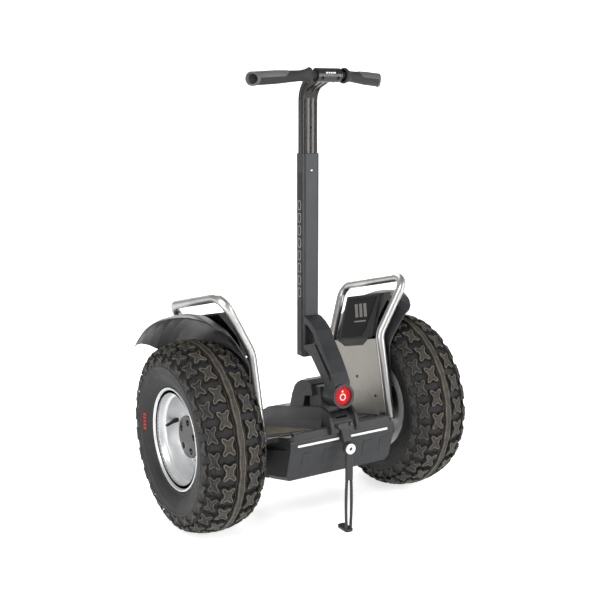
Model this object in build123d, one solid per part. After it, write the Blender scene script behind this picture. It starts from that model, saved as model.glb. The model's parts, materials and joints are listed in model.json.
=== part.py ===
from build123d import *
from math import acos, atan2, cos, degrees, hypot, pi, radians, sin, sqrt, tan
import os

# Two-wheeled self-balancing stand-on transporter with off-road tyres and a lean-to-steer bar.
# World frame: X along the axle, -Y forwards, +Z up, origin on the ground under the axle's middle.
# The rider faces -Y, so the left side of the machine is +X.
# The machine is modelled as it stands when parked: its base is nose-up by park_tilt about the axle
# and rests on the wheels and on the stand leg. The base is built level, in a frame whose origin is
# the axle's middle, and parked() then turns and lifts it.

os.makedirs("parts", exist_ok=True)

# ---------------------------------------------------------------- driving dimensions (mm, degrees)
park_tilt = 14.0            # nose-up angle of the base on its stand

wheel_radius = 265.0        # over the tread
tyre_width = 178.0
track = 670.0               # between the tyres' middle planes
tyre_wall = 9.0
tread_depth = 17.0
bead_radius = 127.0
rim_half_width = 71.0
rim_flange_radius = 140.0
rim_wall = 5.0
rim_well_depth = 11.0
disc_thickness = 9.0
disc_inset = 8.0            # from the tyre's middle plane to the disc's outer face, inboard
disc_holes = 8
disc_hole_radius = 13.0
disc_hole_circle = 84.0
hub_bore_radius = 30.0
lug_count = 4
lug_circle = 50.0
lug_shank_radius = 5.0
lug_head_radius = 9.5
lug_head_height = 9.0
hub_flange_radius = 62.0
hub_flange_thickness = 9.0
hub_cap_height = 24.0

axle_radius = 15.0
gear_case_inner = 219.0     # inboard face of the gear case, from the middle of the machine
gear_case_depth = 39.0
gear_case_wall = 4.0
case_nose_end = 296.0
case_nose_radius = 42.0
bearing_radius = 22.0
inner_bearing_width = 8.0
outer_bearing_width = 14.0
running_clearance = 0.05    # radial, shaft in bore
press_clearance = 0.1       # radial, where one piece is held fast in another
fit_clearance = 0.3         # between separate pieces that only pass each other

gear_module_out = 1.5       # layshaft pinion and wheel gear
pinion_out_teeth = 15
wheel_gear_teeth = 70
wheel_gear_width = 12.0
gear_module_in = 1.0        # motor pinion and layshaft gear
pinion_in_teeth = 14
lay_gear_teeth = 72
lay_gear_width = 7.0
tooth_height_factor = 0.85
tooth_thinning = 0.12       # part of a module, for backlash
pressure_angle = 20.0
lay_shaft_radius = 7.0
motor_drop = 90.0           # motor axis below the axle
motor_radius = 47.0
motor_inner_end = 70.0
motor_length = 90.0
motor_cap = 10.0
motor_shaft_radius = 5.0
rotor_radius = 30.0
rotor_gap = 1.0
case_neck_radius = 30.0

base_half_width = 170.0     # front and rear ends of the base
base_half_length = 217.0
housing_wall = 5.0
housing_half_width = 165.0
housing_half_length = 187.0
bay_half_length = 58.0      # the motor bay between the two battery packs
bay_bottom = -147.0
tray_bottom = -64.0
deck_bottom = -40.0
deck_top = -28.0
deck_rim_top = -18.0
deck_rim_width = 16.0
ear_half_width = 228.0      # the deck's wide middle, which carries the handles
ear_half_length = 154.0
deck_corner = 14.0
mat_thickness = 5.0
mat_inner = 56.0
mat_outer = 197.0
mat_half_length = 148.0
mat_rib_height = 2.0
mat_recess = 3.0
sensor_radius = 16.0
battery_bottom = -149.0
battery_toe = 165.0         # battery's lower front edge, from the axle
battery_front_face = 213.0
bumper_height = 24.0
strip_length = 295.0
strip_height = 6.0
strip_thickness = 1.2

console_half_width = 46.0
console_foot_half_width = 54.0
console_wall = 4.0
console_top = 35.0
console_rear = 156.0
console_front = 186.0
label_thickness = 1.2

pivot_forward = 242.5       # front face of the lean barrel, in the level frame
pivot_height = 58.0
pivot_nose_up = 6.0         # slope of the lean axis in the parked pose
barrel_radius = 33.5
barrel_length = 58.0
barrel_bush_radius = 14.0
spindle_radius = 11.0
spindle_back = 58.0         # length of the spindle held in the base, behind the barrel
bush_length = 16.0
medallion_radius = 24.0
medallion_recess = 9.0
medallion_thickness = 3.0
cheek_half_width = 45.0
cheek_thickness = 8.0
tower_half_width = 36.0
tower_back = -118.0         # rear face of the bearing tower, in the level frame
tower_top = 93.0

shaft_y = -33.5
shaft_width = 53.0
shaft_depth = 41.0
shaft_bottom = 455.0
shaft_top = 1027.0
shaft_corner = 9.0
shaft_side_wall = 2.4
shaft_front_wall = 3.0
slide_clearance = 0.4
upper_shaft_bottom = 690.0
bend_start = 1168.0
bend_radius = 55.0
bend_angle = 70.0
bend_tail = 50.0
lobe_radius = 7.6

arm_half_width = 25.0
arm_web_half = 7.0
strut_half_width = 22.0
band_thickness = 9.0

bar_y = -129.7
bar_z = 1234.7
bar_radius = 10.0
clamp_radius = 18.5
clamp_half_width = 37.0
clamp_gap = 1.0
clamp_screw_radius = 2.5
grip_end = (203.3, -81.7, 1224.1)
bar_elbow = 44.0
bar_bend_radius = 30.0
grip_collar_radius = 21.5
grip_neck_radius = 14.0
grip_palm_radius = 18.0
grip_cut_angle = 32.0

handle_radius = 12.5
handle_wall = 2.5
handle_x = 213.0
handle_top_x = 302.0
handle_front_y = -144.0
handle_rear_y = 115.0
handle_top_front_y = -188.0
handle_top_rear_y = 150.0
handle_kink_z = 207.0
handle_top_z = 366.0
handle_kink_radius = 60.0
handle_corner_radius = 38.0

panel_inner_x = 205.0
panel_thickness = 6.0
panel_bottom = -20.0
panel_top = 199.0
pod_top = 328.0
pod_foot_x = 207.0
pod_top_x = 246.0
pod_face_thickness = 2.0
pod_face_inset = 1.0

fender_wall_x = 230.0
fender_thickness = 4.0
gear_room = 66.0            # round cut-out of the fender's wall over the gear case

stand_pad = 222.0           # flat on the pivot base for the bracket, in the level frame
stand_pivot_y = -249.0
stand_pivot_z = 240.5
stand_disc_radius = 18.0
stand_pin_radius = 5.0
stand_rod_radius = 4.2
stand_rod_spread = 9.0
sleeve_half_width = 11.0
sleeve_bottom = 150.0
foot_length = 40.0
foot_height = 9.0

port_y = 217.0
port_half_width = 22.0
port_half_height = 10.0
port_z = -52.0
socket_half_width = 15.0
socket_half_height = 7.5
socket_depth = 12.0
port_x = 100.0

# ---------------------------------------------------------------- values worked out from them
axle_height = wheel_radius
half_track = track / 2
disc_outer_x = half_track - disc_inset
disc_inner_x = disc_outer_x - disc_thickness
hub_flange_x = disc_inner_x - hub_flange_thickness
tilt_cos = cos(radians(park_tilt))
tilt_sin = sin(radians(park_tilt))
out_centre = gear_module_out * (pinion_out_teeth + wheel_gear_teeth) / 2
in_centre = gear_module_in * (pinion_in_teeth + lay_gear_teeth) / 2
lay_z = -(out_centre ** 2 - in_centre ** 2 + motor_drop ** 2) / (2 * motor_drop)
lay_y = sqrt(out_centre ** 2 - lay_z ** 2)
motor_end_x = motor_inner_end + motor_length
case_end_x = gear_case_inner + gear_case_depth
wheel_gear_x = case_end_x - gear_case_wall - 4.0 - wheel_gear_width
lay_gear_x = gear_case_inner + gear_case_wall + 4.0


def parked_point(y, z):
    """A point of the level base frame, in the world."""
    return y * tilt_cos + z * tilt_sin, axle_height - y * tilt_sin + z * tilt_cos


pivot_y, pivot_z = parked_point(-pivot_forward, pivot_height)
lean_axis = Vector(0, cos(radians(pivot_nose_up)), -sin(radians(pivot_nose_up)))

# ---------------------------------------------------------------- helpers


def parked(shape):
    return Pos(0, 0, axle_height) * Rot(-park_tilt, 0, 0) * shape


def levelled(shape):
    """The inverse of parked()."""
    return Rot(park_tilt, 0, 0) * Pos(0, 0, -axle_height) * shape


def block(x0, x1, y0, y1, z0, z1):
    return Pos((x0 + x1) / 2, (y0 + y1) / 2, (z0 + z1) / 2) * Box(x1 - x0, y1 - y0, z1 - z0)


def rod_x(radius, x0, x1, y=0.0, z=0.0):
    return Pos((x0 + x1) / 2, y, z) * Rot(0, 90, 0) * Cylinder(radius, x1 - x0)


def rod_y(radius, y0, y1, x=0.0, z=0.0):
    return Pos(x, (y0 + y1) / 2, z) * Rot(90, 0, 0) * Cylinder(radius, y1 - y0)


def rod_z(radius, z0, z1, x=0.0, y=0.0):
    return Pos(x, y, (z0 + z1) / 2) * Cylinder(radius, z1 - z0)


def side_face(points, x=0.0):
    """A closed outline given as (y, z), as a face across X."""
    return Plane.YZ.offset(x) * make_face(Polyline(*points, close=True))


def side_plate(points, x0, x1):
    return extrude(side_face(points, x0), x1 - x0)


def plan_plate(points, z0, z1):
    return extrude(Plane.XY.offset(z0) * make_face(Polyline(*points, close=True)), z1 - z0)


def cross_plate(points, y0, y1):
    """A closed outline given as (x, z), pushed along Y."""
    face = Plane.XZ.offset(-y1) * make_face(Polyline(*points, close=True))
    return extrude(face, y1 - y0)


def turned_x(points):
    """A closed outline given as (x, radius), turned about the X axis."""
    return revolve(make_face(Polyline(*points, close=True)), Axis.X)


def mirrored(shape):
    return mirror(shape, Plane.YZ)


def both_sides(shape):
    return [shape, mirrored(shape)]


def spun_x(shape, count, offset=0.0):
    return [Rot(offset + 360.0 * i / count, 0, 0) * shape for i in range(count)]


def about_lean_axis(radius, start, end):
    """A cylinder on the lean axis; 0 is the barrel's front face and lengths run backwards."""
    origin = Vector(0, pivot_y, pivot_z) + lean_axis * start
    return extrude(Plane(origin=origin, x_dir=(1, 0, 0), z_dir=lean_axis) * Circle(radius), end - start)


def write(name, shape):
    export_step(shape, "parts/" + name + ".step")


def write_pair(name, shape):
    write(name + "_left", shape)
    write(name + "_right", mirrored(shape))


# ---------------------------------------------------------------- wheels


def tyre():
    """Closed carcass, turned about the axle: sidewalls bulge, the crown is a flat arc."""
    half = tyre_width / 2
    shoulder_x = half * 0.86
    shoulder_r = wheel_radius - 17.0
    bulge_r = bead_radius + (wheel_radius - bead_radius) * 0.5
    bead_x = rim_half_width - rim_wall
    bead_width = 13.0
    inner_half = half - tyre_wall
    inner_crown = wheel_radius - tread_depth
    outer = [
        Line((bead_x, bead_radius), (bead_x, rim_flange_radius + 4.0)),
        ThreePointArc((bead_x, rim_flange_radius + 4.0), (half, bulge_r), (shoulder_x, shoulder_r)),
        ThreePointArc((shoulder_x, shoulder_r), (0, wheel_radius), (-shoulder_x, shoulder_r)),
        ThreePointArc((-shoulder_x, shoulder_r), (-half, bulge_r), (-bead_x, rim_flange_radius + 4.0)),
        Line((-bead_x, rim_flange_radius + 4.0), (-bead_x, bead_radius)),
        Line((-bead_x, bead_radius), (bead_width - bead_x, bead_radius)),
    ]
    inner = [
        Line((bead_width - bead_x, bead_radius), (bead_width - bead_x, rim_flange_radius + 6.0)),
        ThreePointArc((bead_width - bead_x, rim_flange_radius + 6.0), (-inner_half, bulge_r),
                      (-shoulder_x + tyre_wall, inner_crown - 10.0)),
        ThreePointArc((-shoulder_x + tyre_wall, inner_crown - 10.0), (0, inner_crown),
                      (shoulder_x - tyre_wall, inner_crown - 10.0)),
        ThreePointArc((shoulder_x - tyre_wall, inner_crown - 10.0), (inner_half, bulge_r),
                      (bead_x - bead_width, rim_flange_radius + 6.0)),
        Line((bead_x - bead_width, rim_flange_radius + 6.0), (bead_x - bead_width, bead_radius)),
        Line((bead_x - bead_width, bead_radius), (bead_x, bead_radius)),
    ]
    return Pos(half_track, 0, 0) * revolve(make_face(outer + inner), Axis.X)


def rim():
    """Cast wheel: a stepped barrel with a flange at each edge and a pierced disc inside it."""
    seat = bead_radius
    well = bead_radius - rim_well_depth
    half = rim_half_width
    lip = half - rim_wall
    barrel = turned_x([
        (-half, seat - rim_wall), (-half, rim_flange_radius), (-lip, rim_flange_radius), (-lip, seat),
        (-half * 0.7, seat), (-half * 0.58, well), (half * 0.58, well), (half * 0.7, seat), (lip, seat),
        (lip, rim_flange_radius), (half, rim_flange_radius), (half, seat - rim_wall),
        (half * 0.72, seat - rim_wall), (half * 0.6, well - rim_wall),
        (-half * 0.6, well - rim_wall), (-half * 0.72, seat - rim_wall),
    ])
    disc_x = -disc_inset - disc_thickness
    disc = rod_x(well - rim_wall / 2, disc_x, -disc_inset) - rod_x(hub_bore_radius, disc_x - 1, 1)
    for hole in spun_x(rod_x(disc_hole_radius, disc_x - 1, 1, z=disc_hole_circle), disc_holes):
        disc -= hole
    lug_hole = rod_x(lug_shank_radius + running_clearance, disc_x - 1, 1, z=lug_circle)
    for hole in spun_x(lug_hole, lug_count, 45.0):
        disc -= hole
    return Pos(half_track, 0, 0) * (barrel + disc)


def hub_cap():
    """Dark cup that closes the hub bore, with a rim that rests on the disc."""
    x0 = disc_inner_x
    skirt = rod_x(hub_bore_radius - running_clearance, x0, disc_outer_x)
    flange = rod_x(hub_bore_radius + 7.0, disc_outer_x, disc_outer_x + 3.0)
    crown = rod_x(hub_bore_radius, disc_outer_x + 3.0, disc_outer_x + hub_cap_height)
    crown = chamfer(crown.faces().sort_by(Axis.X)[-1].edges(), 5.0)
    return skirt + flange + crown


def lug_bolts():
    head = Pos(disc_outer_x + lug_head_height / 2, 0, lug_circle) * Rot(0, 90, 0)
    hexagon = head * extrude(RegularPolygon(lug_head_radius, 6), lug_head_height / 2, both=True)
    shank = rod_x(lug_shank_radius, hub_flange_x + 1.0, disc_outer_x + 1.0, z=lug_circle)
    return Compound(children=spun_x(hexagon + shank, lug_count, 45.0))


def axle_shaft():
    """Output shaft: the wheel gear at its inner end and the hub flange at its outer end."""
    inner_end = gear_case_inner + gear_case_wall + running_clearance
    shaft = rod_x(axle_radius, inner_end, hub_flange_x + 1.0)
    flange = rod_x(hub_flange_radius, hub_flange_x, disc_inner_x)
    for hole in spun_x(rod_x(lug_shank_radius, hub_flange_x - 1, disc_inner_x + 1, z=lug_circle),
                       lug_count, 45.0):
        flange -= hole
    angle = degrees(atan2(lay_z, lay_y))
    gear = gear_blank(wheel_gear_teeth, gear_module_out, wheel_gear_width, angle)
    return shaft + flange + Pos(wheel_gear_x, 0, 0) * gear


# ---------------------------------------------------------------- gears


def involute_point(base_radius, radius, half_angle, side):
    """Angle of the flank at this radius; side is -1 or 1."""
    pressure = acos(min(1.0, base_radius / radius))
    return side * (half_angle - (tan(pressure) - pressure))


def gear_blank(teeth, module, width, tooth_angle):
    """Spur gear across X from x = 0, with a tooth centred on tooth_angle, measured from Y to Z."""
    pitch = module * teeth / 2
    base = pitch * cos(radians(pressure_angle))
    tip = pitch + tooth_height_factor * module
    root = pitch - 1.2 * module
    alpha = radians(pressure_angle)
    half_tooth = (pi / 2 - tooth_thinning) / teeth + tan(alpha) - alpha
    start = max(base, root)
    radii = [start + (tip - start) * k / 4 for k in range(5)]
    points = []
    for i in range(teeth):
        centre = radians(tooth_angle) + 2 * pi * i / teeth
        rising = [(r, centre + involute_point(base, r, half_tooth, -1)) for r in radii]
        falling = [(r, centre + involute_point(base, r, half_tooth, 1)) for r in reversed(radii)]
        flank = [(root, rising[0][1])] + rising + falling + [(root, falling[-1][1])]
        for r, a in (flank if root < start else flank[1:-1]):
            points.append((r * cos(a), r * sin(a)))
    return side_plate(points, 0, width)


def layshaft():
    """Middle shaft: the large gear from the motor and the small one that drives the wheel gear."""
    to_motor = degrees(atan2(-motor_drop - lay_z, -lay_y))
    to_axle = degrees(atan2(-lay_z, -lay_y))
    x0 = gear_case_inner + 1.0
    x1 = case_end_x - 1.0
    half_pitch = 180.0 / pinion_out_teeth
    large = gear_blank(lay_gear_teeth, gear_module_in, lay_gear_width, to_motor)
    small = gear_blank(pinion_out_teeth, gear_module_out, wheel_gear_width + 3.0, to_axle + half_pitch)
    shape = rod_x(lay_shaft_radius, x0, x1) + Pos(lay_gear_x, 0, 0) * large
    return Pos(0, lay_y, lay_z) * (shape + Pos(wheel_gear_x - 2.0, 0, 0) * small)


def motor_rotor():
    """Rotor pack, its shaft and the input pinion cut on the shaft's end."""
    to_layshaft = degrees(atan2(motor_drop + lay_z, lay_y))
    pinion_end = lay_gear_x + lay_gear_width + 1.0
    shaft = rod_x(motor_shaft_radius, motor_inner_end + 2.0, pinion_end)
    pack_start = motor_inner_end + motor_cap + rotor_gap
    pack = rod_x(rotor_radius, pack_start, motor_end_x - motor_cap - rotor_gap)
    half_pitch = 180.0 / pinion_in_teeth
    pinion = gear_blank(pinion_in_teeth, gear_module_in, lay_gear_width + 2.0, to_layshaft + half_pitch)
    return Pos(0, 0, -motor_drop) * (shaft + pack + Pos(lay_gear_x - 1.0, 0, 0) * pinion)


def motor_case():
    """Stator and end caps around the rotor, with a bearing bore at each end."""
    body = rod_x(motor_radius, motor_inner_end, motor_end_x)
    body -= rod_x(rotor_radius + rotor_gap, motor_inner_end + motor_cap, motor_end_x - motor_cap)
    body -= rod_x(motor_shaft_radius + running_clearance, motor_inner_end + 1.0, motor_end_x + 1.0)
    for fin in range(6):
        x = motor_inner_end + 15.0 + 12.0 * fin
        body -= rod_x(motor_radius + 1, x, x + 4.0) - rod_x(motor_radius - 3.0, x - 1, x + 5.0)
    return Pos(0, 0, -motor_drop) * body


def case_outline(extra):
    """Outline of the gear case around its three shafts, as a face across X."""
    rings = [(0.0, 0.0, 57.0), (lay_y, lay_z, 41.0), (0.0, -motor_drop, 16.0)]
    circles = Sketch() + [Pos(y, z) * Circle(r + extra) for y, z, r in rings]
    return make_hull(circles.edges())


def gear_case():
    """Two-stage reduction case with a neck to the base and a nose that carries the wheel bearings."""
    inner = gear_case_inner
    shell = extrude(Plane.YZ.offset(inner) * case_outline(gear_case_wall), gear_case_depth)
    hollow_depth = gear_case_depth - 2 * gear_case_wall
    shell -= extrude(Plane.YZ.offset(inner + gear_case_wall) * case_outline(0.0), hollow_depth)
    nose = rod_x(case_nose_radius, case_end_x - gear_case_wall, case_nose_end)
    neck = rod_x(case_neck_radius, housing_half_width, inner, z=-motor_drop)
    seat = rod_x(bearing_radius + 3.0, inner + gear_case_wall, inner + gear_case_wall + inner_bearing_width)
    bosses = rod_x(lay_shaft_radius + 4.0, inner, inner + gear_case_wall + 3.0, lay_y, lay_z)
    bosses += rod_x(lay_shaft_radius + 4.0, case_end_x - gear_case_wall - 2.0, case_end_x, lay_y, lay_z)
    shell = shell + nose + neck + seat + bosses
    shell -= rod_x(bearing_radius, inner + gear_case_wall, inner + gear_case_wall + inner_bearing_width + 1)
    shell -= rod_x(axle_radius + 2.0, case_end_x - gear_case_wall - 1, case_nose_end + 1)
    shell -= rod_x(bearing_radius, case_nose_end - outer_bearing_width, case_nose_end + 1)
    lay_bore = lay_shaft_radius + running_clearance
    shell -= rod_x(lay_bore, inner + 1.0 - running_clearance, case_end_x - 1.0 + running_clearance, lay_y, lay_z)
    shell -= rod_x(motor_shaft_radius + 2.0, housing_half_width - 1, inner + gear_case_wall + 1, z=-motor_drop)
    return shell


def axle_bearings():
    """Inner and outer wheel bearings of one side."""
    start = gear_case_inner + gear_case_wall
    rings = []
    spans = [(start, start + inner_bearing_width), (case_nose_end - outer_bearing_width, case_nose_end)]
    for x0, x1 in spans:
        rings.append(rod_x(bearing_radius, x0, x1) - rod_x(axle_radius + running_clearance, x0 - 1, x1 + 1))
    return rings


# ---------------------------------------------------------------- base


def housing():
    """Cast base: a tray under the deck with a deep motor bay across its middle, open at the top."""
    wall = housing_wall
    tray = block(-housing_half_width, housing_half_width, -housing_half_length, housing_half_length,
                 tray_bottom, deck_bottom)
    bay = block(-housing_half_width, housing_half_width, -bay_half_length, bay_half_length,
                bay_bottom, tray_bottom)
    tray_hollow = block(wall - housing_half_width, housing_half_width - wall, wall - housing_half_length,
                        housing_half_length - wall, tray_bottom + wall, deck_bottom + 1)
    bay_hollow = block(wall - housing_half_width, housing_half_width - wall, wall - bay_half_length,
                       bay_half_length - wall, bay_bottom + wall, deck_bottom)
    pad = block(-30, 30, -housing_half_length, -130, tray_bottom, deck_bottom)
    shell = tray + bay - tray_hollow - bay_hollow + pad
    return shell - rod_x(motor_shaft_radius + 2.0, -housing_half_width - 1, housing_half_width + 1,
                         z=-motor_drop)


def deck_outline(inset=0.0):
    """Plan of the deck: wide ears in the middle, narrower ends."""
    end_x = base_half_width - inset
    ear_x = ear_half_width - inset
    ear_y = ear_half_length - inset
    end_y = base_half_length - inset
    quarter = [(end_x, end_y), (end_x, ear_y), (ear_x, ear_y)]
    return (quarter + [(x, -y) for x, y in reversed(quarter)] + [(-x, -y) for x, y in quarter]
            + [(-x, y) for x, y in reversed(quarter)])


def mat_outline(extra=0.0):
    """Plan of the left mat, which stops short of the handle's feet."""
    inner = mat_inner - extra
    outer = mat_outer + extra
    end = mat_half_length + extra
    return [(inner, -end - 16), (160 + extra, -end - 16), (160 + extra, -end + 14), (outer - 12, -end + 30),
            (outer, -end + 52), (outer, end - 60), (outer - 12, end - 38), (160 + extra, end - 22),
            (160 + extra, end + 16), (inner, end + 16)]


def deck():
    """Moulded deck with a rounded rim at each end, recesses for the mats and the console's opening."""
    plate = plan_plate(deck_outline(), deck_bottom, deck_top)
    upright = plate.edges().filter_by(Axis.Z)
    plate = fillet(upright, deck_corner)
    for side in (-1, 1):
        near = side * (base_half_length - deck_rim_width)
        far = side * base_half_length
        rim_block = block(-base_half_width + deck_corner, base_half_width - deck_corner,
                          min(near, far), max(near, far), deck_top - 1.0, deck_rim_top)
        long_edges = rim_block.edges().filter_by(Axis.X).group_by(Axis.Z)[-1]
        plate += fillet(long_edges, 5.0)
    recess = plan_plate(mat_outline(fit_clearance), deck_top - mat_recess, deck_top + 1)
    for cut in both_sides(recess):
        plate -= cut
    plate -= block(-console_half_width, console_half_width, -base_half_length - 1, tower_back + 4, deck_bottom - 1,
                   deck_rim_top + 1)
    notch = block(gear_case_inner - 1.0, ear_half_width + 1, -66, lay_y + 52, deck_bottom - 1, deck_top + 1)
    for cut in both_sides(notch):
        plate -= cut
    for x in (-handle_x, handle_x):
        for y in (handle_front_y, handle_rear_y):
            plate -= rod_z(handle_radius + running_clearance, deck_bottom + 3.0, deck_rim_top + 1, x, y)
    for switch in rider_sensors():
        plate -= switch
    return plate


def mat():
    """Rubber mat with slanting ribs."""
    floor = deck_top - mat_recess
    top = floor + mat_thickness
    sheet = plan_plate(mat_outline(), floor, top)
    ribs = []
    pitch = 15.0
    for i in range(-13, 14):
        rib = Pos(0, i * pitch, top + mat_rib_height / 2 - 0.5) * Rot(0, 0, 32)
        ribs.append(rib * Box(400, 5.0, mat_rib_height + 1.0))
    cap = plan_plate(mat_outline(-4.0), top - 1.0, top + mat_rib_height)
    for rib in ribs:
        sheet += rib & cap
    return sheet


def rider_sensors():
    """Four thin pressure switches that lie in the deck under the mats' ends."""
    floor = deck_top - mat_recess
    discs = []
    for x in (-120, 120):
        for y in (-90, 90):
            discs.append(rod_z(sensor_radius, floor - 3.0, floor, x, y))
    return discs


def bumper():
    """Front trim between the deck and the battery; the rear one is its mirror image."""
    y0 = -base_half_length
    outline = [(y0, deck_bottom), (y0, deck_bottom - 6.0), (-battery_front_face, deck_bottom - bumper_height),
               (-housing_half_length, deck_bottom - bumper_height), (-housing_half_length, deck_bottom)]
    return side_plate(outline, -base_half_width, base_half_width)


def strip():
    """Narrow reflective band on the bumper's sloping face."""
    drop = bumper_height - 6.0
    lean = degrees(atan2(base_half_length - battery_front_face, drop))
    middle_y = -(base_half_length + battery_front_face) / 2
    middle_z = deck_bottom - 6.0 - drop / 2
    band = extrude(SlotOverall(strip_length, strip_height), strip_thickness)
    placed = Pos(0, middle_y, middle_z) * Rot(lean, 0, 0) * Rot(90, 0, 0) * band
    return placed - block(-16, 16, -base_half_length - 9, -190, deck_bottom - bumper_height, deck_bottom)


def battery():
    """Front battery pack, with a front face that slopes in towards its bottom."""
    top = deck_bottom - bumper_height
    outline = [(-battery_front_face, top), (-battery_toe, battery_bottom), (-bay_half_length - 4.0, battery_bottom),
               (-bay_half_length - 4.0, top)]
    pack = side_plate(outline, -base_half_width, base_half_width)
    return chamfer(pack.edges().filter_by(Axis.Y).group_by(Axis.Z)[0], 12.0)


def control_boards():
    """Two redundant motor-control boards, one in each end of the tray."""
    floor = tray_bottom + housing_wall
    boards = []
    for y in (-95, 125):
        board = block(-120, 120, y - 32, y + 32, floor, floor + 3.0)
        board += block(-100, -40, y - 22, y + 22, floor + 3.0, floor + 11.0)
        board += block(20, 95, y - 18, y + 18, floor + 3.0, floor + 9.0)
        boards.append(board)
    return boards


def balance_sensor():
    """Sealed gyro and tilt sensor unit on the floor of the motor bay."""
    floor = bay_bottom + housing_wall
    unit = block(-42, 42, -38, 38, floor, floor + 42)
    return fillet(unit.edges().filter_by(Axis.Z), 8.0)


# ---------------------------------------------------------------- console and pivot base


def console_lower():
    """Long tunnel along the middle of the deck; its foot flares out on to the deck."""
    half = console_half_width
    foot = console_foot_half_width
    flare = deck_top + 26.0
    section = [(-foot, deck_top), (-half, flare), (-half + 4.0, console_top), (half - 4.0, console_top),
               (half, flare), (foot, deck_top)]
    tunnel = cross_plate(section, -console_front, console_rear)
    slope = [(60, console_top + 1), (118, console_top - 4), (148, console_top - 13), (console_rear, deck_top + 30),
             (console_rear + 1, deck_top - 1), (console_rear + 30, deck_top - 1), (console_rear + 30, console_top + 9),
             (60, console_top + 9)]
    tunnel -= side_plate(slope, -foot - 1, foot + 1)
    wall = console_wall
    inner = [(-foot + wall + 4, deck_top - 1), (-half + wall, flare - 2), (-half + wall, console_top - wall),
             (half - wall, console_top - wall), (half - wall, flare - 2), (foot - wall - 4, deck_top - 1)]
    tunnel -= cross_plate(inner, -console_front - 1, 112)
    tower_room = block(-tower_half_width - 1, tower_half_width + 1, -console_front - 1, tower_back + 1,
                       console_top - wall - 1, console_top + 1)
    return tunnel - tower_room


def console_upper_outline():
    top = console_top
    return [(-17, top), (-38, top + 36), (-60, top + 61), (-80, top + 71), (-102, top + 76), (-128, top + 74),
            (-150, top + 62), (-150, top + 31), (-110, top + 31), (-94, top + 4), (-94, top)]


def console_upper():
    """Raised cover over the bearing tower, notched at its front."""
    half = console_half_width - 2.0
    outline = console_upper_outline()
    shell = side_plate(outline, -half, half)
    inner = [(-22, top_y) for top_y in (console_top - 1, console_top + 14)]
    inner += [(-44, console_top + 38), (-64, console_top + 57), (-102, console_top + 70),
              (-126, console_top + 68), (-126, console_top + 37), (-108, console_top + 37),
              (-88, console_top + 4), (-88, console_top - 1)]
    shell -= side_plate(inner, console_wall - half, half - console_wall)
    room = tower_half_width + 0.5
    return shell - block(-room, room, -200, tower_back + 1, 0, tower_top + 0.5)


def label_plates():
    """Two blank plates: one on the raised cover, one on the tunnel behind it."""
    rise = degrees(atan2(5.0, 22.0))
    upper = Pos(0, -91, console_top + 73.5 + label_thickness) * Rot(-rise, 0, 0)
    plate = upper * Box(56, 20, label_thickness)
    lower = block(-24, 24, 8, 56, console_top, console_top + label_thickness)
    return [plate, lower]


def pivot_base():
    """Cast foot of the lean pivot: a tower that holds the spindle, a rolled nose and two cheeks."""
    half = cheek_half_width
    inner = half - cheek_thickness
    cheek_line = [(-188, deck_bottom), (-188, 33), (-204, 29), (-217, 19), (-226, 6), (-230, -10),
                  (-230, -26), (-226, deck_bottom)]
    pad = -stand_pad
    roll_line = [(-150, deck_bottom), (-150, 18), (-196, 16), (-208, 11), (-217, 2), (pad + 1, -8), (pad, -12),
                 (pad, deck_bottom)]
    cheeks = side_plate(cheek_line, inner, half) + side_plate(cheek_line, -half, -inner)
    roll = side_plate(roll_line, -inner, inner)
    back = tower_back
    top = tower_top
    tower_line = [(back, deck_bottom), (back, top - 30), (back - 10, top - 8), (-158, top), (-181, top - 4),
                  (-181, deck_bottom)]
    tower = side_plate(tower_line, -tower_half_width, tower_half_width)
    slot = Pos(0, -220, 6) * Rot(-45, 0, 0) * Box(38, 30, 7)
    shape = cheeks + roll + tower - slot
    bore = about_lean_axis(spindle_radius + press_clearance, barrel_length, barrel_length + spindle_back + 2.0)
    sweep_room = about_lean_axis(barrel_radius + 1.5, -20, barrel_length + 1.0)
    return shape - levelled(bore) - levelled(sweep_room)


def pivot_spindle():
    """Fixed pin of the lean pivot, pressed into the tower, with a retaining head inside the barrel."""
    pin = about_lean_axis(spindle_radius, medallion_recess + 8.0, barrel_length + spindle_back)
    return pin + about_lean_axis(spindle_radius + 6.0, medallion_recess + 5.0, medallion_recess + 9.0)


# ---------------------------------------------------------------- lean frame


def arm_outline():
    """Side view of the arm: from the shaft's front face down to the barrel."""
    front = shaft_y - shaft_depth / 2
    foot = shaft_bottom
    return [(front, foot + 26), (front, foot + 120), (front - 12, foot + 118), (front - 36, foot + 108),
            (front - 61, foot + 90), (front - 81, foot + 64), (pivot_y + 46, pivot_z + 92),
            (pivot_y + 24, pivot_z + 62), (pivot_y + 8, pivot_z + 36), (pivot_y + 8, pivot_z),
            (pivot_y + 50, pivot_z - 4), (pivot_y + 57, pivot_z + 20), (front - 37, foot + 14)]


def lean_arm():
    """One casting: bearing barrel, rear strut and front band joined by a thin web, up to the shaft."""
    front = shaft_y - shaft_depth / 2
    foot = shaft_bottom
    body = side_plate(arm_outline(), -arm_half_width, arm_half_width)
    barrel = about_lean_axis(barrel_radius, 0, barrel_length)
    window = [(front + 1, foot + 36), (front + 1, foot + 100), (front - 20, foot + 96), (front - 44, foot + 82),
              (front - 62, foot + 62), (front - 52, foot + 52)]
    slot = [(front - 62, foot + 56), (front - 72, foot + 48), (pivot_y + 34, pivot_z + 62),
            (pivot_y + 24, pivot_z + 40), (pivot_y + 30, pivot_z + 38), (front - 58, foot + 48)]
    for pocket in (window, slot):
        body -= side_plate(pocket, arm_web_half, arm_half_width + 1)
        body -= side_plate(pocket, -arm_half_width - 1, -arm_web_half)
    body += barrel
    body -= about_lean_axis(medallion_radius + 2.0, -1, medallion_recess + 10.0)
    body -= about_lean_axis(barrel_bush_radius, medallion_recess, barrel_length + 1)
    return body


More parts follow.
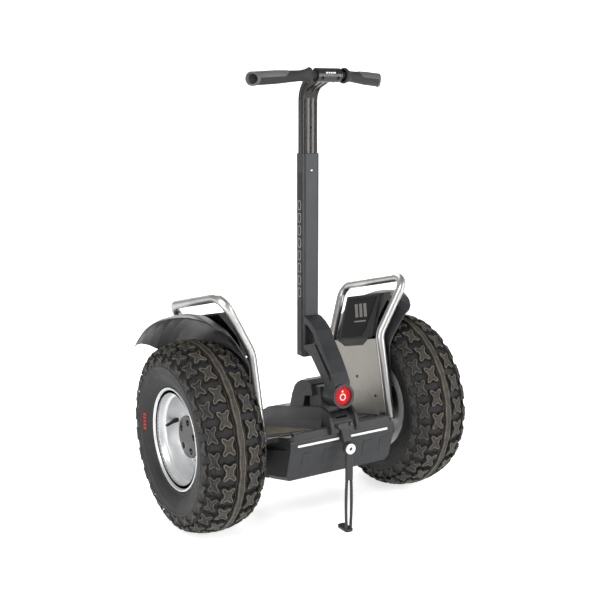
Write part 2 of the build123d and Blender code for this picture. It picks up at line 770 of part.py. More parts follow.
def medallion():
    """Round badge pressed into the mouth of the barrel."""
    disc = about_lean_axis(medallion_radius + 2.0, medallion_recess - medallion_thickness, medallion_recess)
    return disc


def pivot_bushes():
    """Two plain bushes between the barrel and the spindle."""
    rings = []
    first = medallion_recess + 10.0
    for start in (first, barrel_length - bush_length):
        ring = about_lean_axis(barrel_bush_radius, start, start + bush_length)
        ring -= about_lean_axis(spindle_radius + running_clearance, start - 1, start + bush_length + 1)
        rings.append(ring)
    return rings


def lower_shaft():
    """Outer tube of the steering post, closed at the bottom, with grooves down its corners."""
    outer = RectangleRounded(shaft_width, shaft_depth, shaft_corner)
    inner = RectangleRounded(shaft_width - 2 * shaft_side_wall, shaft_depth - 2 * shaft_front_wall,
                             shaft_corner - shaft_side_wall)
    length = shaft_top - shaft_bottom
    tube = Pos(0, shaft_y, shaft_bottom) * extrude(outer, length)
    tube = fillet(tube.faces().sort_by(Axis.Z)[0].edges(), 4.0)
    tube -= Pos(0, shaft_y, shaft_bottom + 6.0) * extrude(inner, length)
    front = shaft_y - shaft_depth / 2
    tube -= rod_y(2.6, front - 1, front + shaft_front_wall + 1, z=shaft_top - 48.0)
    return tube


# ---------------------------------------------------------------- upper frame


def upper_section():
    """Fluted section of the inner post: ribs on every side of a rounded core."""
    half_x = shaft_width / 2 - shaft_side_wall - slide_clearance
    half_y = shaft_depth / 2 - shaft_front_wall - slide_clearance
    core = RectangleRounded(2 * half_x - 4.0, 2 * half_y - 4.0, 6.0)
    corners = Sketch() + [Pos(sx * (half_x - lobe_radius), sy * (half_y - lobe_radius)) * Circle(lobe_radius)
                          for sx in (-1, 1) for sy in (-1, 1)]
    ribs = Sketch() + [Pos(0, sy * (half_y - 5.0)) * Circle(5.0) for sy in (-1, 1)]
    return core + corners + ribs


def upper_path():
    """Centre line of the inner post: straight up, then bent forwards to the bar."""
    end_angle = radians(bend_angle)
    bend_y = shaft_y - bend_radius * (1 - cos(end_angle))
    bend_z = bend_start + bend_radius * sin(end_angle)
    half = end_angle / 2
    mid = (0, shaft_y - bend_radius * (1 - cos(half)), bend_start + bend_radius * sin(half))
    tail = (0, bend_y - bend_tail * sin(end_angle), bend_z + bend_tail * cos(end_angle))
    return Wire([Line((0, shaft_y, upper_shaft_bottom), (0, shaft_y, bend_start)),
                 ThreePointArc((0, shaft_y, bend_start), mid, (0, bend_y, bend_z)),
                 Line((0, bend_y, bend_z), tail)])


def clamp_ring():
    ring = rod_x(clamp_radius, -clamp_half_width, clamp_half_width, bar_y, bar_z)
    bore = bar_radius + press_clearance
    return ring - rod_x(bore, -clamp_half_width - 1, clamp_half_width + 1, bar_y, bar_z)


def clamp_front(start):
    """Half space in front of the clamp's split, which leans back at the top."""
    room = Pos(0, -100 - start, 0) * Box(200, 200, 200)
    return Pos(0, bar_y, bar_z) * Rot(-20, 0, 0) * room


def upper_shaft():
    """Inner post with the rear half of the bar clamp at its top."""
    section = Plane(origin=(0, shaft_y, upper_shaft_bottom)) * upper_section()
    post = sweep(section, path=upper_path())
    post -= rod_x(clamp_radius - 1.0, -60, 60, bar_y, bar_z)
    head = clamp_ring() - clamp_front(-clamp_gap)
    screw_room = Pos(0, bar_y, bar_z) * Rot(-20, 0, 0)
    for x in (-24, 24):
        hole = screw_room * rod_y(clamp_screw_radius, -clamp_radius - 4, 14.0, x, -14.0)
        head -= hole
    post -= rod_y(2.6, shaft_y - 30, shaft_y - 8, z=(shaft_top + bend_start) / 2)
    return post + head


def clamp_cap():
    """Front half of the bar clamp, held by two screws."""
    cap = clamp_ring() & clamp_front(0.0)
    screw_room = Pos(0, bar_y, bar_z) * Rot(-20, 0, 0)
    for x in (-24, 24):
        cap -= screw_room * rod_y(clamp_screw_radius + fit_clearance, -40, 10, x, -14.0)
        cap -= screw_room * rod_y(4.6, -40, -9.0, x, -14.0)
    return cap


def clamp_screws():
    screws = []
    for x in (-24, 24):
        screw = rod_y(clamp_screw_radius, -10.0, 12.0, x, -14.0) + rod_y(4.3, -12.5, -9.0, x, -14.0)
        screws.append(Pos(0, bar_y, bar_z) * Rot(-20, 0, 0) * screw)
    return screws


def grip_frame():
    """Frame at the bar's elbow whose Z runs out along the grip."""
    elbow = Vector(bar_elbow, bar_y, bar_z)
    return Plane(origin=elbow, z_dir=Vector(*grip_end) - elbow, x_dir=(0, 0, 1))


def grip_length():
    return (Vector(*grip_end) - Vector(bar_elbow, bar_y, bar_z)).length


def handlebar():
    """Bar across the clamp, with both ends swept back."""
    elbow = Vector(bar_elbow, bar_y, bar_z)
    tip = elbow + (Vector(*grip_end) - elbow).normalized() * (grip_length() - 22.0)
    right = [Vector(-p.X, p.Y, p.Z) for p in (tip, elbow)]
    path = FilletPolyline(right[0], right[1], elbow, tip, radius=bar_bend_radius)
    return sweep(Plane(origin=path @ 0, z_dir=path % 0) * Circle(bar_radius), path=path)


def grip():
    """Rubber grip: collar, slim neck and a fuller palm, cut off at a slant and hollow at its end."""
    length = grip_length()
    frame = grip_frame()
    bore = bar_radius + press_clearance
    profile = [(bore, 5), (grip_collar_radius - 2, 5), (grip_collar_radius, 8),
               (grip_collar_radius - 2, 15), (grip_neck_radius + 2, 24), (grip_neck_radius, 36),
               (grip_neck_radius + 1.2, 62), (grip_palm_radius - 0.5, 100), (grip_palm_radius, length + 12),
               (bore, length + 12)]
    turned = revolve(Plane.XZ * make_face(Polyline(*profile, close=True)), Axis.Z)
    hollow = Pos(0, 0, length + 14) * Cylinder(grip_palm_radius - 3.0, 70)
    cut = Pos(0, 0, length + 40) * Rot(0, -grip_cut_angle, 0) * Pos(0, 0, 1) * Box(160, 160, 80)
    return frame * (turned - hollow - cut)


# ---------------------------------------------------------------- sides


def handle_path():
    """Centre line of the left grab handle: up one leg, over the top bar, down the other leg."""
    foot = deck_bottom + 3.0
    points = [(handle_x, handle_front_y, foot), (handle_x, handle_front_y, handle_kink_z),
              (handle_top_x, handle_top_front_y, handle_top_z), (handle_top_x, handle_top_rear_y, handle_top_z),
              (handle_x, handle_rear_y, handle_kink_z), (handle_x, handle_rear_y, foot)]
    radii = [handle_kink_radius, handle_corner_radius, handle_corner_radius, handle_kink_radius]
    return FilletPolyline(*points, radius=radii)


def handle():
    """Bent aluminium tube, closed at both feet by the deck."""
    path = handle_path()
    start = Plane(origin=path @ 0, z_dir=path % 0)
    ring = Circle(handle_radius) - Circle(handle_radius - handle_wall)
    return sweep(start * ring, path=path)


def side_panel():
    """Metal cover between the handle's legs, with a notched top edge that takes the pod."""
    front = handle_front_y + handle_radius + fit_clearance
    rear = handle_rear_y - handle_radius - fit_clearance
    outline = [(front, panel_bottom), (front, panel_top - 4), (-92, panel_top - 4), (-62, panel_top - 20),
               (38, panel_top - 20), (54, panel_top - 10), (80, panel_top), (rear, panel_top), (rear, panel_bottom)]
    plate = side_plate(outline, panel_inner_x, panel_inner_x + panel_thickness)
    for y, z in ((-94, 27), (-10, 86)):
        plate -= rod_x(2.6, panel_inner_x - 1, panel_inner_x + panel_thickness + 1, y, z)
    brace = block(panel_inner_x + panel_thickness, fender_wall_x, -60, 60, 130, 150)
    foot = block(panel_inner_x, panel_inner_x + panel_thickness, -100, 80, deck_top, panel_bottom)
    return plate + brace + foot


def fender_section():
    """(x, radius) of the fender's outer surface, from its inner wall over the tyre to its outer edge."""
    x = fender_wall_x
    return [(x, gear_room), (x, 236), (x + 6, 250), (x + 15, 264), (x + 28, 282), (x + 43, 302), (x + 57, 319),
            (x + 75, 331), (x + 102, 336), (x + 130, 335), (x + 160, 330), (x + 180, 322), (x + 190, 312)]


def fender():
    """Thin shell around the top of the tyre: a flat inner wall and a roof that sweeps back to a point."""
    outer = fender_section()
    t = fender_thickness
    inner = [(x + t, r - t) if x < fender_wall_x + 30 else (x + t / 3, r - t) for x, r in outer[1:-1]]
    inner = [(outer[0][0] + t, outer[0][1])] + inner + [(outer[-1][0] - t / 2, outer[-1][1] - 1)]
    shell = turned_x(outer + list(reversed(inner)))
    x = fender_wall_x
    plan = [(x - 2, -190), (x + 67, -188), (x + 84, -176), (x + 96, -158), (x + 114, -118), (x + 138, -72),
            (x + 165, -32), (x + 184, 40), (x + 193, 110), (x + 192, 168), (x + 104, 222), (x - 2, 236)]
    side = [(-138, 29), (-158, 160), (-166, 200), (-184, 262), (-184, 350), (280, 350), (280, 215), (190, 200),
            (118, 160), (104, 29)]
    return shell & plan_plate(plan, 0, 400) & side_plate(side, x - 3, x + 210)


def pod():
    """Black box on the fender's inner wall, under the handle's top bar."""
    outline = [(-60, panel_top - 19), (37, panel_top - 19), (53, panel_top - 9), (76, panel_top + 3), (50, pod_top),
               (-124, pod_top - 2), (-112, panel_top + 4), (-92, panel_top - 3)]
    roof = [(x - 1.0, r + 1.5) for x, r in fender_section()[2:7]]
    wedge = [(panel_inner_x, panel_top - 19), (pod_foot_x, panel_top), (pod_top_x, pod_top), (roof[-1][0], pod_top)]
    wedge += list(reversed(roof)) + [(fender_wall_x, 237), (fender_wall_x, panel_top - 19)]
    body = side_plate(outline, panel_inner_x, fender_wall_x + 70) & cross_plate(wedge, -200, 120)
    panel_room = side_plate([(-200, 0), (-200, panel_top + 1), (-91, panel_top + 1), (-91, panel_top - 4),
                             (-61, panel_top - 20), (39, panel_top - 20), (55, panel_top - 10), (78, panel_top + 1),
                             (200, panel_top + 1), (200, 0)], panel_inner_x - 1, panel_inner_x + panel_thickness)
    return body - panel_room - pod_face_at(0.2)


def pod_face_at(extra):
    """Slanting gloss plate set into the pod's inner face."""
    top = pod_top - 8.0
    low = panel_top + 8.0
    outline = [(58 + extra, low - extra), (40 + extra, top + extra), (-112 - extra, top - 2 + extra),
               (-66 - extra, low + 14), (-50 - extra, low - extra)]
    slope = (pod_top_x - pod_foot_x) / (pod_top - panel_top)
    low_x = pod_foot_x + slope * (low - 20 - panel_top) - pod_face_inset
    high_x = pod_foot_x + slope * (top + 20 - panel_top) - pod_face_inset
    t = pod_face_thickness + pod_face_inset + extra
    wedge = [(low_x, low - 20), (high_x, top + 20), (high_x + t, top + 20), (low_x + t, low - 20)]
    return side_plate(outline, 150, 320) & cross_plate(wedge, -200, 120)


# ---------------------------------------------------------------- stand


def stand_bracket():
    """Bent strap screwed to the pivot base; it carries the stand's pivot in front of the bumper."""
    ears = [(-25, -15), (25, -15), (27, -20), (20, -28), (12.5, -32), (12.5, -48), (-12.5, -48), (-12.5, -32),
            (-20, -28), (-27, -20)]
    back = -stand_pad
    plate = cross_plate(ears, back - 6.0, back)
    strap_line = [(back, -30), (back - 6, -30), (back - 12, -58), (back - 12, -76), (back - 5, -76),
                  (back - 5, -60), (back, -46)]
    strap = side_plate(strap_line, -12.5, 12.5)
    return parked(plate) + (parked(strap) - stand_room())


def stand_room():
    return rod_y(stand_disc_radius + 0.5, stand_pivot_y - 12, stand_pivot_y + 5.0, z=stand_pivot_z)


def stand_back():
    """Fixed disc behind the leg's eye, joined to the strap."""
    back = rod_y(stand_disc_radius - 3.0, stand_pivot_y + 5.0, stand_pivot_y + 11.0, z=stand_pivot_z)
    pin = rod_y(stand_pin_radius, stand_pivot_y - 6.0, stand_pivot_y + 6.0, z=stand_pivot_z)
    return back + pin


def stand_reflector():
    """White ring reflector on the pivot pin's front, with a dark middle."""
    ring = rod_y(stand_disc_radius - 3.5, stand_pivot_y - 9.0, stand_pivot_y - 5.5, z=stand_pivot_z)
    return ring - rod_y(stand_pin_radius, stand_pivot_y - 10.0, stand_pivot_y - 5.0, z=stand_pivot_z)


def stand_leg():
    """Eye, sleeve, two bowed rods and a foot that reaches back under the base."""
    y = stand_pivot_y
    eye = rod_y(stand_disc_radius, y - 5.0, y + 4.7, z=stand_pivot_z)
    sleeve = block(-sleeve_half_width, sleeve_half_width, y - 5.0, y + 4.7, sleeve_bottom, stand_pivot_z)
    sleeve = fillet(sleeve.edges().filter_by(Axis.Z), 3.0)
    body = eye + sleeve - rod_y(stand_pin_radius + running_clearance, y - 6, y + 6, z=stand_pivot_z)
    narrow = stand_rod_spread - 2.5
    middle = sleeve_bottom / 2
    for side in (-1, 1):
        top = (side * narrow, y, sleeve_bottom + 8.0)
        waist = (side * stand_rod_spread, y, middle)
        low = (side * narrow, y, foot_height - 2.0)
        path = ThreePointArc(top, waist, low)
        start = Plane(origin=path @ 0, z_dir=path % 0)
        body += sweep(start * Circle(stand_rod_radius), path=path)
    foot = block(-12, 12, y - 8.0, y + foot_length, 0, foot_height)
    foot = fillet(foot.edges().filter_by(Axis.Z), 7.0)
    return body + chamfer(foot.faces().sort_by(Axis.Z)[-1].edges(), 2.0)


# ---------------------------------------------------------------- charge port and fasteners


def charge_port():
    """Socket in the rear bumper."""
    y1 = port_y - 3.0
    y0 = y1 - 22.0
    body = block(port_x - port_half_width, port_x + port_half_width, y0, y1, port_z - port_half_height,
                 port_z + port_half_height)
    body = fillet(body.edges().filter_by(Axis.Y), 4.0)
    recess = block(port_x - socket_half_width, port_x + socket_half_width, y1 - socket_depth, y1 + 1,
                   port_z - socket_half_height, port_z + socket_half_height)
    return body - fillet(recess.edges().filter_by(Axis.Y), 2.0)


def port_cover():
    """Flap over the charge port, hinged along its top edge."""
    y0 = port_y + 0.4
    low = port_z - port_half_height - 2.0
    high = port_z + port_half_height + 2.0
    flap = block(port_x - port_half_width - 3, port_x + port_half_width + 3, y0, y0 + 3.0, low, high)
    flap = fillet(flap.edges().filter_by(Axis.Y), 4.0)
    return flap + rod_x(2.2, port_x - 18, port_x + 18, y0 + 2.2, high)


def body_screws():
    """Panel screws, the stand bracket's screws and the studs that hold the handle's feet."""
    screws = []
    for y, z in ((-94, 27), (-10, 86)):
        head = rod_x(3.8, panel_inner_x - 2.0, panel_inner_x, y, z)
        screws += both_sides(head + rod_x(2.6, panel_inner_x, panel_inner_x + panel_thickness, y, z))
    for x in (-19.5, 19.5):
        screws.append(rod_y(4.5, -stand_pad - 10.0, -stand_pad - 6.0, x, -21.0))
    return [parked(screw) for screw in screws]


# ---------------------------------------------------------------- build and write every piece

bumper_solid = bumper()
strip_solid = strip()
port_hole = block(port_x - port_half_width, port_x + port_half_width, 150, port_y + 2,
                  port_z - port_half_height, port_z + port_half_height)
port_hole = fillet(port_hole.edges().filter_by(Axis.Y), 4.0)

write_pair("tyre", parked(tyre()))
write_pair("rim", parked(rim()))
write_pair("hub_cap", parked(hub_cap()))
write_pair("lug_bolts", parked(lug_bolts()))
write_pair("axle_shaft", parked(axle_shaft()))
write_pair("layshaft", parked(layshaft()))
write_pair("motor_rotor", parked(motor_rotor()))
write_pair("motor_case", parked(motor_case()))
write_pair("gear_case", parked(gear_case()))
write("axle_bearings", parked(Compound(children=axle_bearings() + [mirrored(b) for b in axle_bearings()])))
write("power_base_housing", parked(housing() - port_hole))
write("deck_cover", parked(deck()))
write_pair("mat", parked(mat()))
write("rider_sensors", parked(Compound(children=rider_sensors())))
write("bumper_front", parked(bumper_solid))
write("bumper_rear", parked(mirror(bumper_solid, Plane.XZ) - port_hole))
write("battery_front", parked(battery()))
write("battery_rear", parked(mirror(battery(), Plane.XZ)))
write("reflective_strips", parked(Compound(children=[strip_solid])))
write("control_boards", parked(Compound(children=control_boards())))
write("balance_sensor", parked(balance_sensor()))
write("console_lower", parked(console_lower()))
write("console_upper", parked(console_upper()))
write("label_plates", parked(Compound(children=label_plates())))
write("pivot_base", parked(pivot_base()))
write("pivot_spindle", pivot_spindle())
write("lean_arm", lean_arm())
write("medallion", medallion())
write("pivot_bushes", Compound(children=pivot_bushes()))
write("lower_shaft", lower_shaft())
write("upper_shaft", upper_shaft())
write("clamp_cap", clamp_cap())
write("clamp_screws", Compound(children=clamp_screws()))
write("handlebar", handlebar())
write("grips", Compound(children=both_sides(grip())))
write_pair("handle", parked(handle()))
write_pair("side_panel", parked(side_panel()))
write_pair("fender", parked(fender()))
write_pair("pod", parked(pod()))
write("pod_faces", parked(Compound(children=both_sides(pod_face_at(0.0)))))
write("stand_bracket", stand_bracket() + stand_back())
write("stand_reflector", stand_reflector())
write("stand_leg", stand_leg())
write("charge_port", parked(charge_port()))
write("port_cover", parked(port_cover()))
write("body_screws", Compound(children=body_screws()))
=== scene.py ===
import json
import math
import bmesh
import bpy
from mathutils import Matrix, Vector

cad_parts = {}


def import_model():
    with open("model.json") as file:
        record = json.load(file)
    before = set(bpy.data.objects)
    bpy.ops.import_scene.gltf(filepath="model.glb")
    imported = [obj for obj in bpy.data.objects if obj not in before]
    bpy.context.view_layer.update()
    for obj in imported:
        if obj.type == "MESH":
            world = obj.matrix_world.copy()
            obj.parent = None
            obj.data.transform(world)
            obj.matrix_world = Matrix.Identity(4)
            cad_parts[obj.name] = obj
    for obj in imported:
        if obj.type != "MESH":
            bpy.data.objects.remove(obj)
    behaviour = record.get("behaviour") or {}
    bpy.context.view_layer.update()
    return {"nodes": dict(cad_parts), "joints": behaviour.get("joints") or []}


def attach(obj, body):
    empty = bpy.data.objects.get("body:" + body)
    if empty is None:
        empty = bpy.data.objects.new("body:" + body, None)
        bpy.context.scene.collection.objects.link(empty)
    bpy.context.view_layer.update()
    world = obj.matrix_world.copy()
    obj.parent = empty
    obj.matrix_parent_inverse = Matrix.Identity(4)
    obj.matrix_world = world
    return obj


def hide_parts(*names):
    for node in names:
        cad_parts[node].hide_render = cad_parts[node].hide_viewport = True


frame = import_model()
nodes = frame["nodes"]
joints = {j["name"]: j for j in frame["joints"]}
axleHeight = joints["wheel_left_spin"]["pos_m"][2]
halfTrack = joints["wheel_left_spin"]["pos_m"][0]
mm = 0.001
print("frame loaded:", len(nodes), "CAD nodes")

# the machine stands nose-up on its stand; the base was drawn level about the axle
stance = {"tilt": 14.0}


def parked(x, y, z):
    # a point of the level base, in millimetres from the axle's middle, to the world in metres
    a = math.radians(stance["tilt"])
    return Vector((x * mm, (y * math.cos(a) + z * math.sin(a)) * mm,
                   axleHeight + (z * math.cos(a) - y * math.sin(a)) * mm))


def world(x, y, z):
    return Vector((x * mm, y * mm, z * mm))


# small tools for materials

def addNode(tree, kind, values=None, **settings):
    made = tree.nodes.new(kind)
    for key, value in settings.items():
        setattr(made, key, value)
    for key, value in (values or {}).items():
        made.inputs[key].default_value = value
    return made


def blendColor(tree, factor, first, second):
    mix = addNode(tree, "ShaderNodeMix", data_type="RGBA")
    for socket, value in ((0, factor), (6, first), (7, second)):
        if isinstance(value, bpy.types.NodeSocket):
            tree.links.new(value, mix.inputs[socket])
        elif socket == 0:
            mix.inputs[0].default_value = value
        else:
            mix.inputs[socket].default_value = (*value, 1.0)
    return mix.outputs[2]


def remap(tree, source, low, high, toLow, toHigh):
    ranged = addNode(tree, "ShaderNodeMapRange", {1: low, 2: high, 3: toLow, 4: toHigh}, clamp=True)
    tree.links.new(source, ranged.inputs[0])
    return ranged.outputs[0]


def multiply(tree, first, second):
    product = addNode(tree, "ShaderNodeMath", operation="MULTIPLY")
    for index, value in enumerate((first, second)):
        if isinstance(value, bpy.types.NodeSocket):
            tree.links.new(value, product.inputs[index])
        else:
            product.inputs[index].default_value = value
    return product.outputs[0]


# color and tint vary over patches, grain and bump are the fine texture, edge is the rounding of sharp
# corners, wear is the colour of rubbed edges, dust lies in patches, treadDust lies on top of the tread, and
# ribTop is the height over the axle above which a mat's ribs are dusty
looks = {
    "mouldedPlastic": {"color": (0.012, 0.0125, 0.014), "tint": (0.018, 0.0185, 0.020), "rough": (0.36, 0.48),
                       "grain": 1400, "bump": 0.18, "edge": 1.6, "wear": (0.035, 0.035, 0.037), "dust": 0.05,
                       "specular": 0.35},
    "deckPlastic": {"color": (0.014, 0.0145, 0.016), "tint": (0.021, 0.0215, 0.023), "rough": (0.40, 0.54),
                    "grain": 1100, "bump": 0.24, "edge": 2.2, "wear": (0.045, 0.045, 0.046), "dust": 0.10,
                    "specular": 0.35},
    "batteryPlastic": {"color": (0.018, 0.019, 0.021), "tint": (0.025, 0.026, 0.028), "rough": (0.48, 0.60),
                       "grain": 900, "bump": 0.32, "edge": 1.6, "wear": (0.045, 0.045, 0.045), "dust": 0.06,
                       "specular": 0.32},
    "fenderPlastic": {"color": (0.008, 0.009, 0.011), "tint": (0.013, 0.0145, 0.017), "rough": (0.30, 0.40),
                      "grain": 900, "bump": 0.08, "edge": 2.0, "wear": (0.05, 0.055, 0.06), "dust": 0.05,
                      "specular": 0.35},
    "blackPlastic": {"color": (0.004, 0.004, 0.0045), "tint": (0.007, 0.007, 0.0075), "rough": (0.34, 0.46),
                     "grain": 1200, "bump": 0.18, "edge": 1.2, "wear": (0.02, 0.02, 0.02), "dust": 0.03,
                     "specular": 0.3},
    "glossPanel": {"color": (0.0015, 0.0015, 0.0015), "tint": (0.0025, 0.0025, 0.0025), "rough": (0.06, 0.10),
                   "grain": 300, "bump": 0.01, "specular": 0.35},
    "castDark": {"color": (0.013, 0.014, 0.0155), "tint": (0.020, 0.0205, 0.022), "rough": (0.38, 0.50),
                 "grain": 800, "bump": 0.22, "edge": 2.2, "wear": (0.04, 0.04, 0.042), "dust": 0.03,
                 "specular": 0.38},
    "postPaint": {"color": (0.026, 0.027, 0.029), "tint": (0.034, 0.035, 0.037), "rough": (0.34, 0.44),
                  "grain": 1600, "bump": 0.12, "edge": 1.2, "wear": (0.07, 0.07, 0.07), "metallic": 0.4,
                  "specular": 0.4},
    "flutedPost": {"color": (0.030, 0.028, 0.027), "tint": (0.040, 0.038, 0.036), "rough": (0.22, 0.27),
                   "grain": 1200, "bump": 0.015, "metallic": 0.85, "specular": 0.7},
    "clampBlack": {"color": (0.005, 0.005, 0.0055), "tint": (0.009, 0.009, 0.0095), "rough": (0.22, 0.32),
                   "grain": 1500, "bump": 0.08, "edge": 1.0, "wear": (0.03, 0.03, 0.03), "specular": 0.5},
    "hubPaint": {"color": (0.012, 0.0125, 0.0135), "tint": (0.018, 0.0185, 0.020), "rough": (0.24, 0.34),
                 "grain": 900, "bump": 0.08, "dust": 0.03, "metallic": 0.3, "specular": 0.5},
    "castSilver": {"color": (0.36, 0.36, 0.35), "tint": (0.28, 0.28, 0.27), "rough": (0.38, 0.55),
                   "grain": 500, "bump": 0.35, "edge": 1.5, "metallic": 0.9, "dust": 0.15},
    "rimSilver": {"color": (0.60, 0.605, 0.61), "tint": (0.52, 0.525, 0.53), "rough": (0.32, 0.42),
                  "grain": 900, "bump": 0.06, "edge": 1.0, "metallic": 0.65, "dust": 0.02},
    "handleSilver": {"color": (0.48, 0.475, 0.465), "tint": (0.40, 0.395, 0.385), "rough": (0.34, 0.44),
                     "grain": 1500, "bump": 0.08, "metallic": 1.0},
    "machinedSteel": {"color": (0.38, 0.38, 0.39), "tint": (0.30, 0.30, 0.31), "rough": (0.26, 0.38),
                      "grain": 1500, "bump": 0.06, "edge": 0.4, "metallic": 1.0},
    "darkSteel": {"color": (0.020, 0.020, 0.021), "tint": (0.032, 0.032, 0.033), "rough": (0.30, 0.42),
                  "grain": 1500, "bump": 0.06, "edge": 0.4, "metallic": 0.6},
    "bearingBronze": {"color": (0.40, 0.26, 0.12), "tint": (0.32, 0.20, 0.10), "rough": (0.30, 0.42),
                      "grain": 900, "bump": 0.08, "edge": 0.4, "metallic": 1.0},
    "panelPaint": {"color": (0.270, 0.255, 0.228), "tint": (0.320, 0.303, 0.272), "rough": (0.34, 0.46),
                   "grain": 2200, "bump": 0.12, "edge": 1.2, "wear": (0.42, 0.40, 0.37), "metallic": 0.55},
    "matRubber": {"color": (0.004, 0.004, 0.004), "tint": (0.007, 0.007, 0.0065), "rough": (0.66, 0.82),
                  "grain": 800, "bump": 0.35, "edge": 0.6, "dust": 0.06, "ribTop": -24.9, "specular": 0.25},
    "gripRubber": {"color": (0.016, 0.016, 0.017), "tint": (0.022, 0.022, 0.0235), "rough": (0.58, 0.70),
                   "grain": 1800, "bump": 0.35, "edge": 0.8, "specular": 0.3},
    "inlayRubber": {"color": (0.070, 0.072, 0.071), "tint": (0.088, 0.090, 0.088), "rough": (0.55, 0.65),
                    "grain": 1800, "bump": 0.35, "specular": 0.3},
    "plateGrey": {"color": (0.24, 0.24, 0.24), "tint": (0.30, 0.30, 0.295), "rough": (0.30, 0.40),
                  "grain": 900, "bump": 0.05},
    "reflectorWhite": {"color": (0.62, 0.63, 0.64), "tint": (0.72, 0.72, 0.72), "rough": (0.22, 0.32),
                       "grain": 2600, "bump": 0.25},
    "badgeRed": {"color": (0.46, 0.002, 0.003), "tint": (0.54, 0.004, 0.005), "rough": (0.44, 0.54),
                 "grain": 900, "bump": 0.03, "specular": 0.12},
    "badgeWhite": {"color": (0.66, 0.66, 0.66), "tint": (0.74, 0.74, 0.74), "rough": (0.30, 0.38),
                   "grain": 900, "bump": 0.03},
    "markSilver": {"color": (0.22, 0.215, 0.20), "tint": (0.28, 0.272, 0.255), "rough": (0.26, 0.34),
                   "grain": 1500, "bump": 0.03, "metallic": 0.5},
    "markRed": {"color": (0.46, 0.020, 0.010), "tint": (0.34, 0.016, 0.010), "rough": (0.55, 0.7),
                "grain": 900, "bump": 0.2, "specular": 0.25},
    "boardGreen": {"color": (0.01, 0.06, 0.025), "tint": (0.015, 0.08, 0.03), "rough": (0.35, 0.45),
                   "grain": 1200, "bump": 0.15, "edge": 0.3},
    "sensorBlue": {"color": (0.02, 0.025, 0.05), "tint": (0.03, 0.035, 0.06), "rough": (0.35, 0.45),
                   "grain": 900, "bump": 0.10, "edge": 0.6},
    "tyreRubber": {"color": (0.0075, 0.0080, 0.0092), "tint": (0.0135, 0.0135, 0.0138), "rough": (0.52, 0.70),
                   "grain": 700, "bump": 0.45, "edge": 0.8, "dust": 0.05, "treadDust": 0.85, "specular": 0.3},
}
dustColor = (0.17, 0.145, 0.105)
# the noises that every finish shares, the depth of its fine bump, and half the height over which ribs fade
noises = {"patch": 14.0, "spots": 70.0, "bumpDepth": 0.0006, "ribFade": 0.0002}


def finish(name):
    found = bpy.data.materials.get(name)
    if found:
        return found
    look = looks[name]
    made = bpy.data.materials.new(name)
    made.use_nodes = True
    tree = made.node_tree
    shader = tree.nodes["Principled BSDF"]
    place = addNode(tree, "ShaderNodeTexCoord").outputs["Object"]
    patch = addNode(tree, "ShaderNodeTexNoise", {"Scale": noises["patch"], "Detail": 5.0, "Roughness": 0.6})
    grain = addNode(tree, "ShaderNodeTexNoise", {"Scale": float(look["grain"]), "Detail": 2.0})
    spots = addNode(tree, "ShaderNodeTexNoise", {"Scale": noises["spots"], "Detail": 6.0, "Roughness": 0.7})
    for texture in (patch, grain, spots):
        tree.links.new(place, texture.inputs["Vector"])
    patches = remap(tree, patch.outputs["Fac"], 0.35, 0.65, 0.0, 1.0)
    color = blendColor(tree, patches, look["color"], look["tint"])
    rounded = None
    if "edge" in look:
        rounded = addNode(tree, "ShaderNodeBevel", {"Radius": look["edge"] * mm}, samples=4)
    if "wear" in look:
        # where the rounded normal leaves the true one there is an edge
        facing = addNode(tree, "ShaderNodeNewGeometry")
        angle = addNode(tree, "ShaderNodeVectorMath", operation="DOT_PRODUCT")
        tree.links.new(facing.outputs["Normal"], angle.inputs[0])
        tree.links.new(rounded.outputs["Normal"], angle.inputs[1])
        edge = remap(tree, angle.outputs["Value"], 0.86, 0.995, 1.0, 0.0)
        worn = multiply(tree, edge, remap(tree, spots.outputs["Fac"], 0.40, 0.70, 0.0, 0.8))
        color = blendColor(tree, worn, color, look["wear"])
    if look.get("dust"):
        amount = multiply(tree, remap(tree, spots.outputs["Fac"], 0.45, 0.75, 0.0, 1.0), look["dust"])
        color = blendColor(tree, amount, color, dustColor)
    if look.get("treadDust"):
        lift = addNode(tree, "ShaderNodeAttribute", attribute_name="lift").outputs["Fac"]
        amount = multiply(tree, lift, remap(tree, spots.outputs["Fac"], 0.30, 0.62, 0.25, 1.0))
        amount = multiply(tree, amount, look["treadDust"])
        color = blendColor(tree, amount, color, dustColor)
    if "ribTop" in look:
        # ribs carry the dust above this height over the axle, in the tilted base's own measure
        a = math.radians(stance["tilt"])
        height = addNode(tree, "ShaderNodeVectorMath", operation="DOT_PRODUCT")
        height.inputs[1].default_value = (0.0, math.sin(a), math.cos(a))
        tree.links.new(place, height.inputs[0])
        top = axleHeight * math.cos(a) + look["ribTop"] * mm
        ribs = remap(tree, height.outputs["Value"], top - noises["ribFade"], top + noises["ribFade"], 0.0, 1.0)
        ribs = multiply(tree, ribs, remap(tree, spots.outputs["Fac"], 0.30, 0.65, 0.45, 0.95))
        color = blendColor(tree, ribs, color, dustColor)
    tree.links.new(color, shader.inputs["Base Color"])
    low, high = look["rough"]
    tree.links.new(remap(tree, patch.outputs["Fac"], 0.3, 0.7, low, high), shader.inputs["Roughness"])
    relief = addNode(tree, "ShaderNodeBump", {"Strength": look["bump"], "Distance": noises["bumpDepth"]})
    tree.links.new(grain.outputs["Fac"], relief.inputs["Height"])
    if rounded:
        tree.links.new(rounded.outputs["Normal"], relief.inputs["Normal"])
    tree.links.new(relief.outputs["Normal"], shader.inputs["Normal"])
    shader.inputs["Metallic"].default_value = look.get("metallic", 0.0)
    shader.inputs["Specular IOR Level"].default_value = look.get("specular", 0.5)
    return made


# finishes of the carried-over CAD nodes

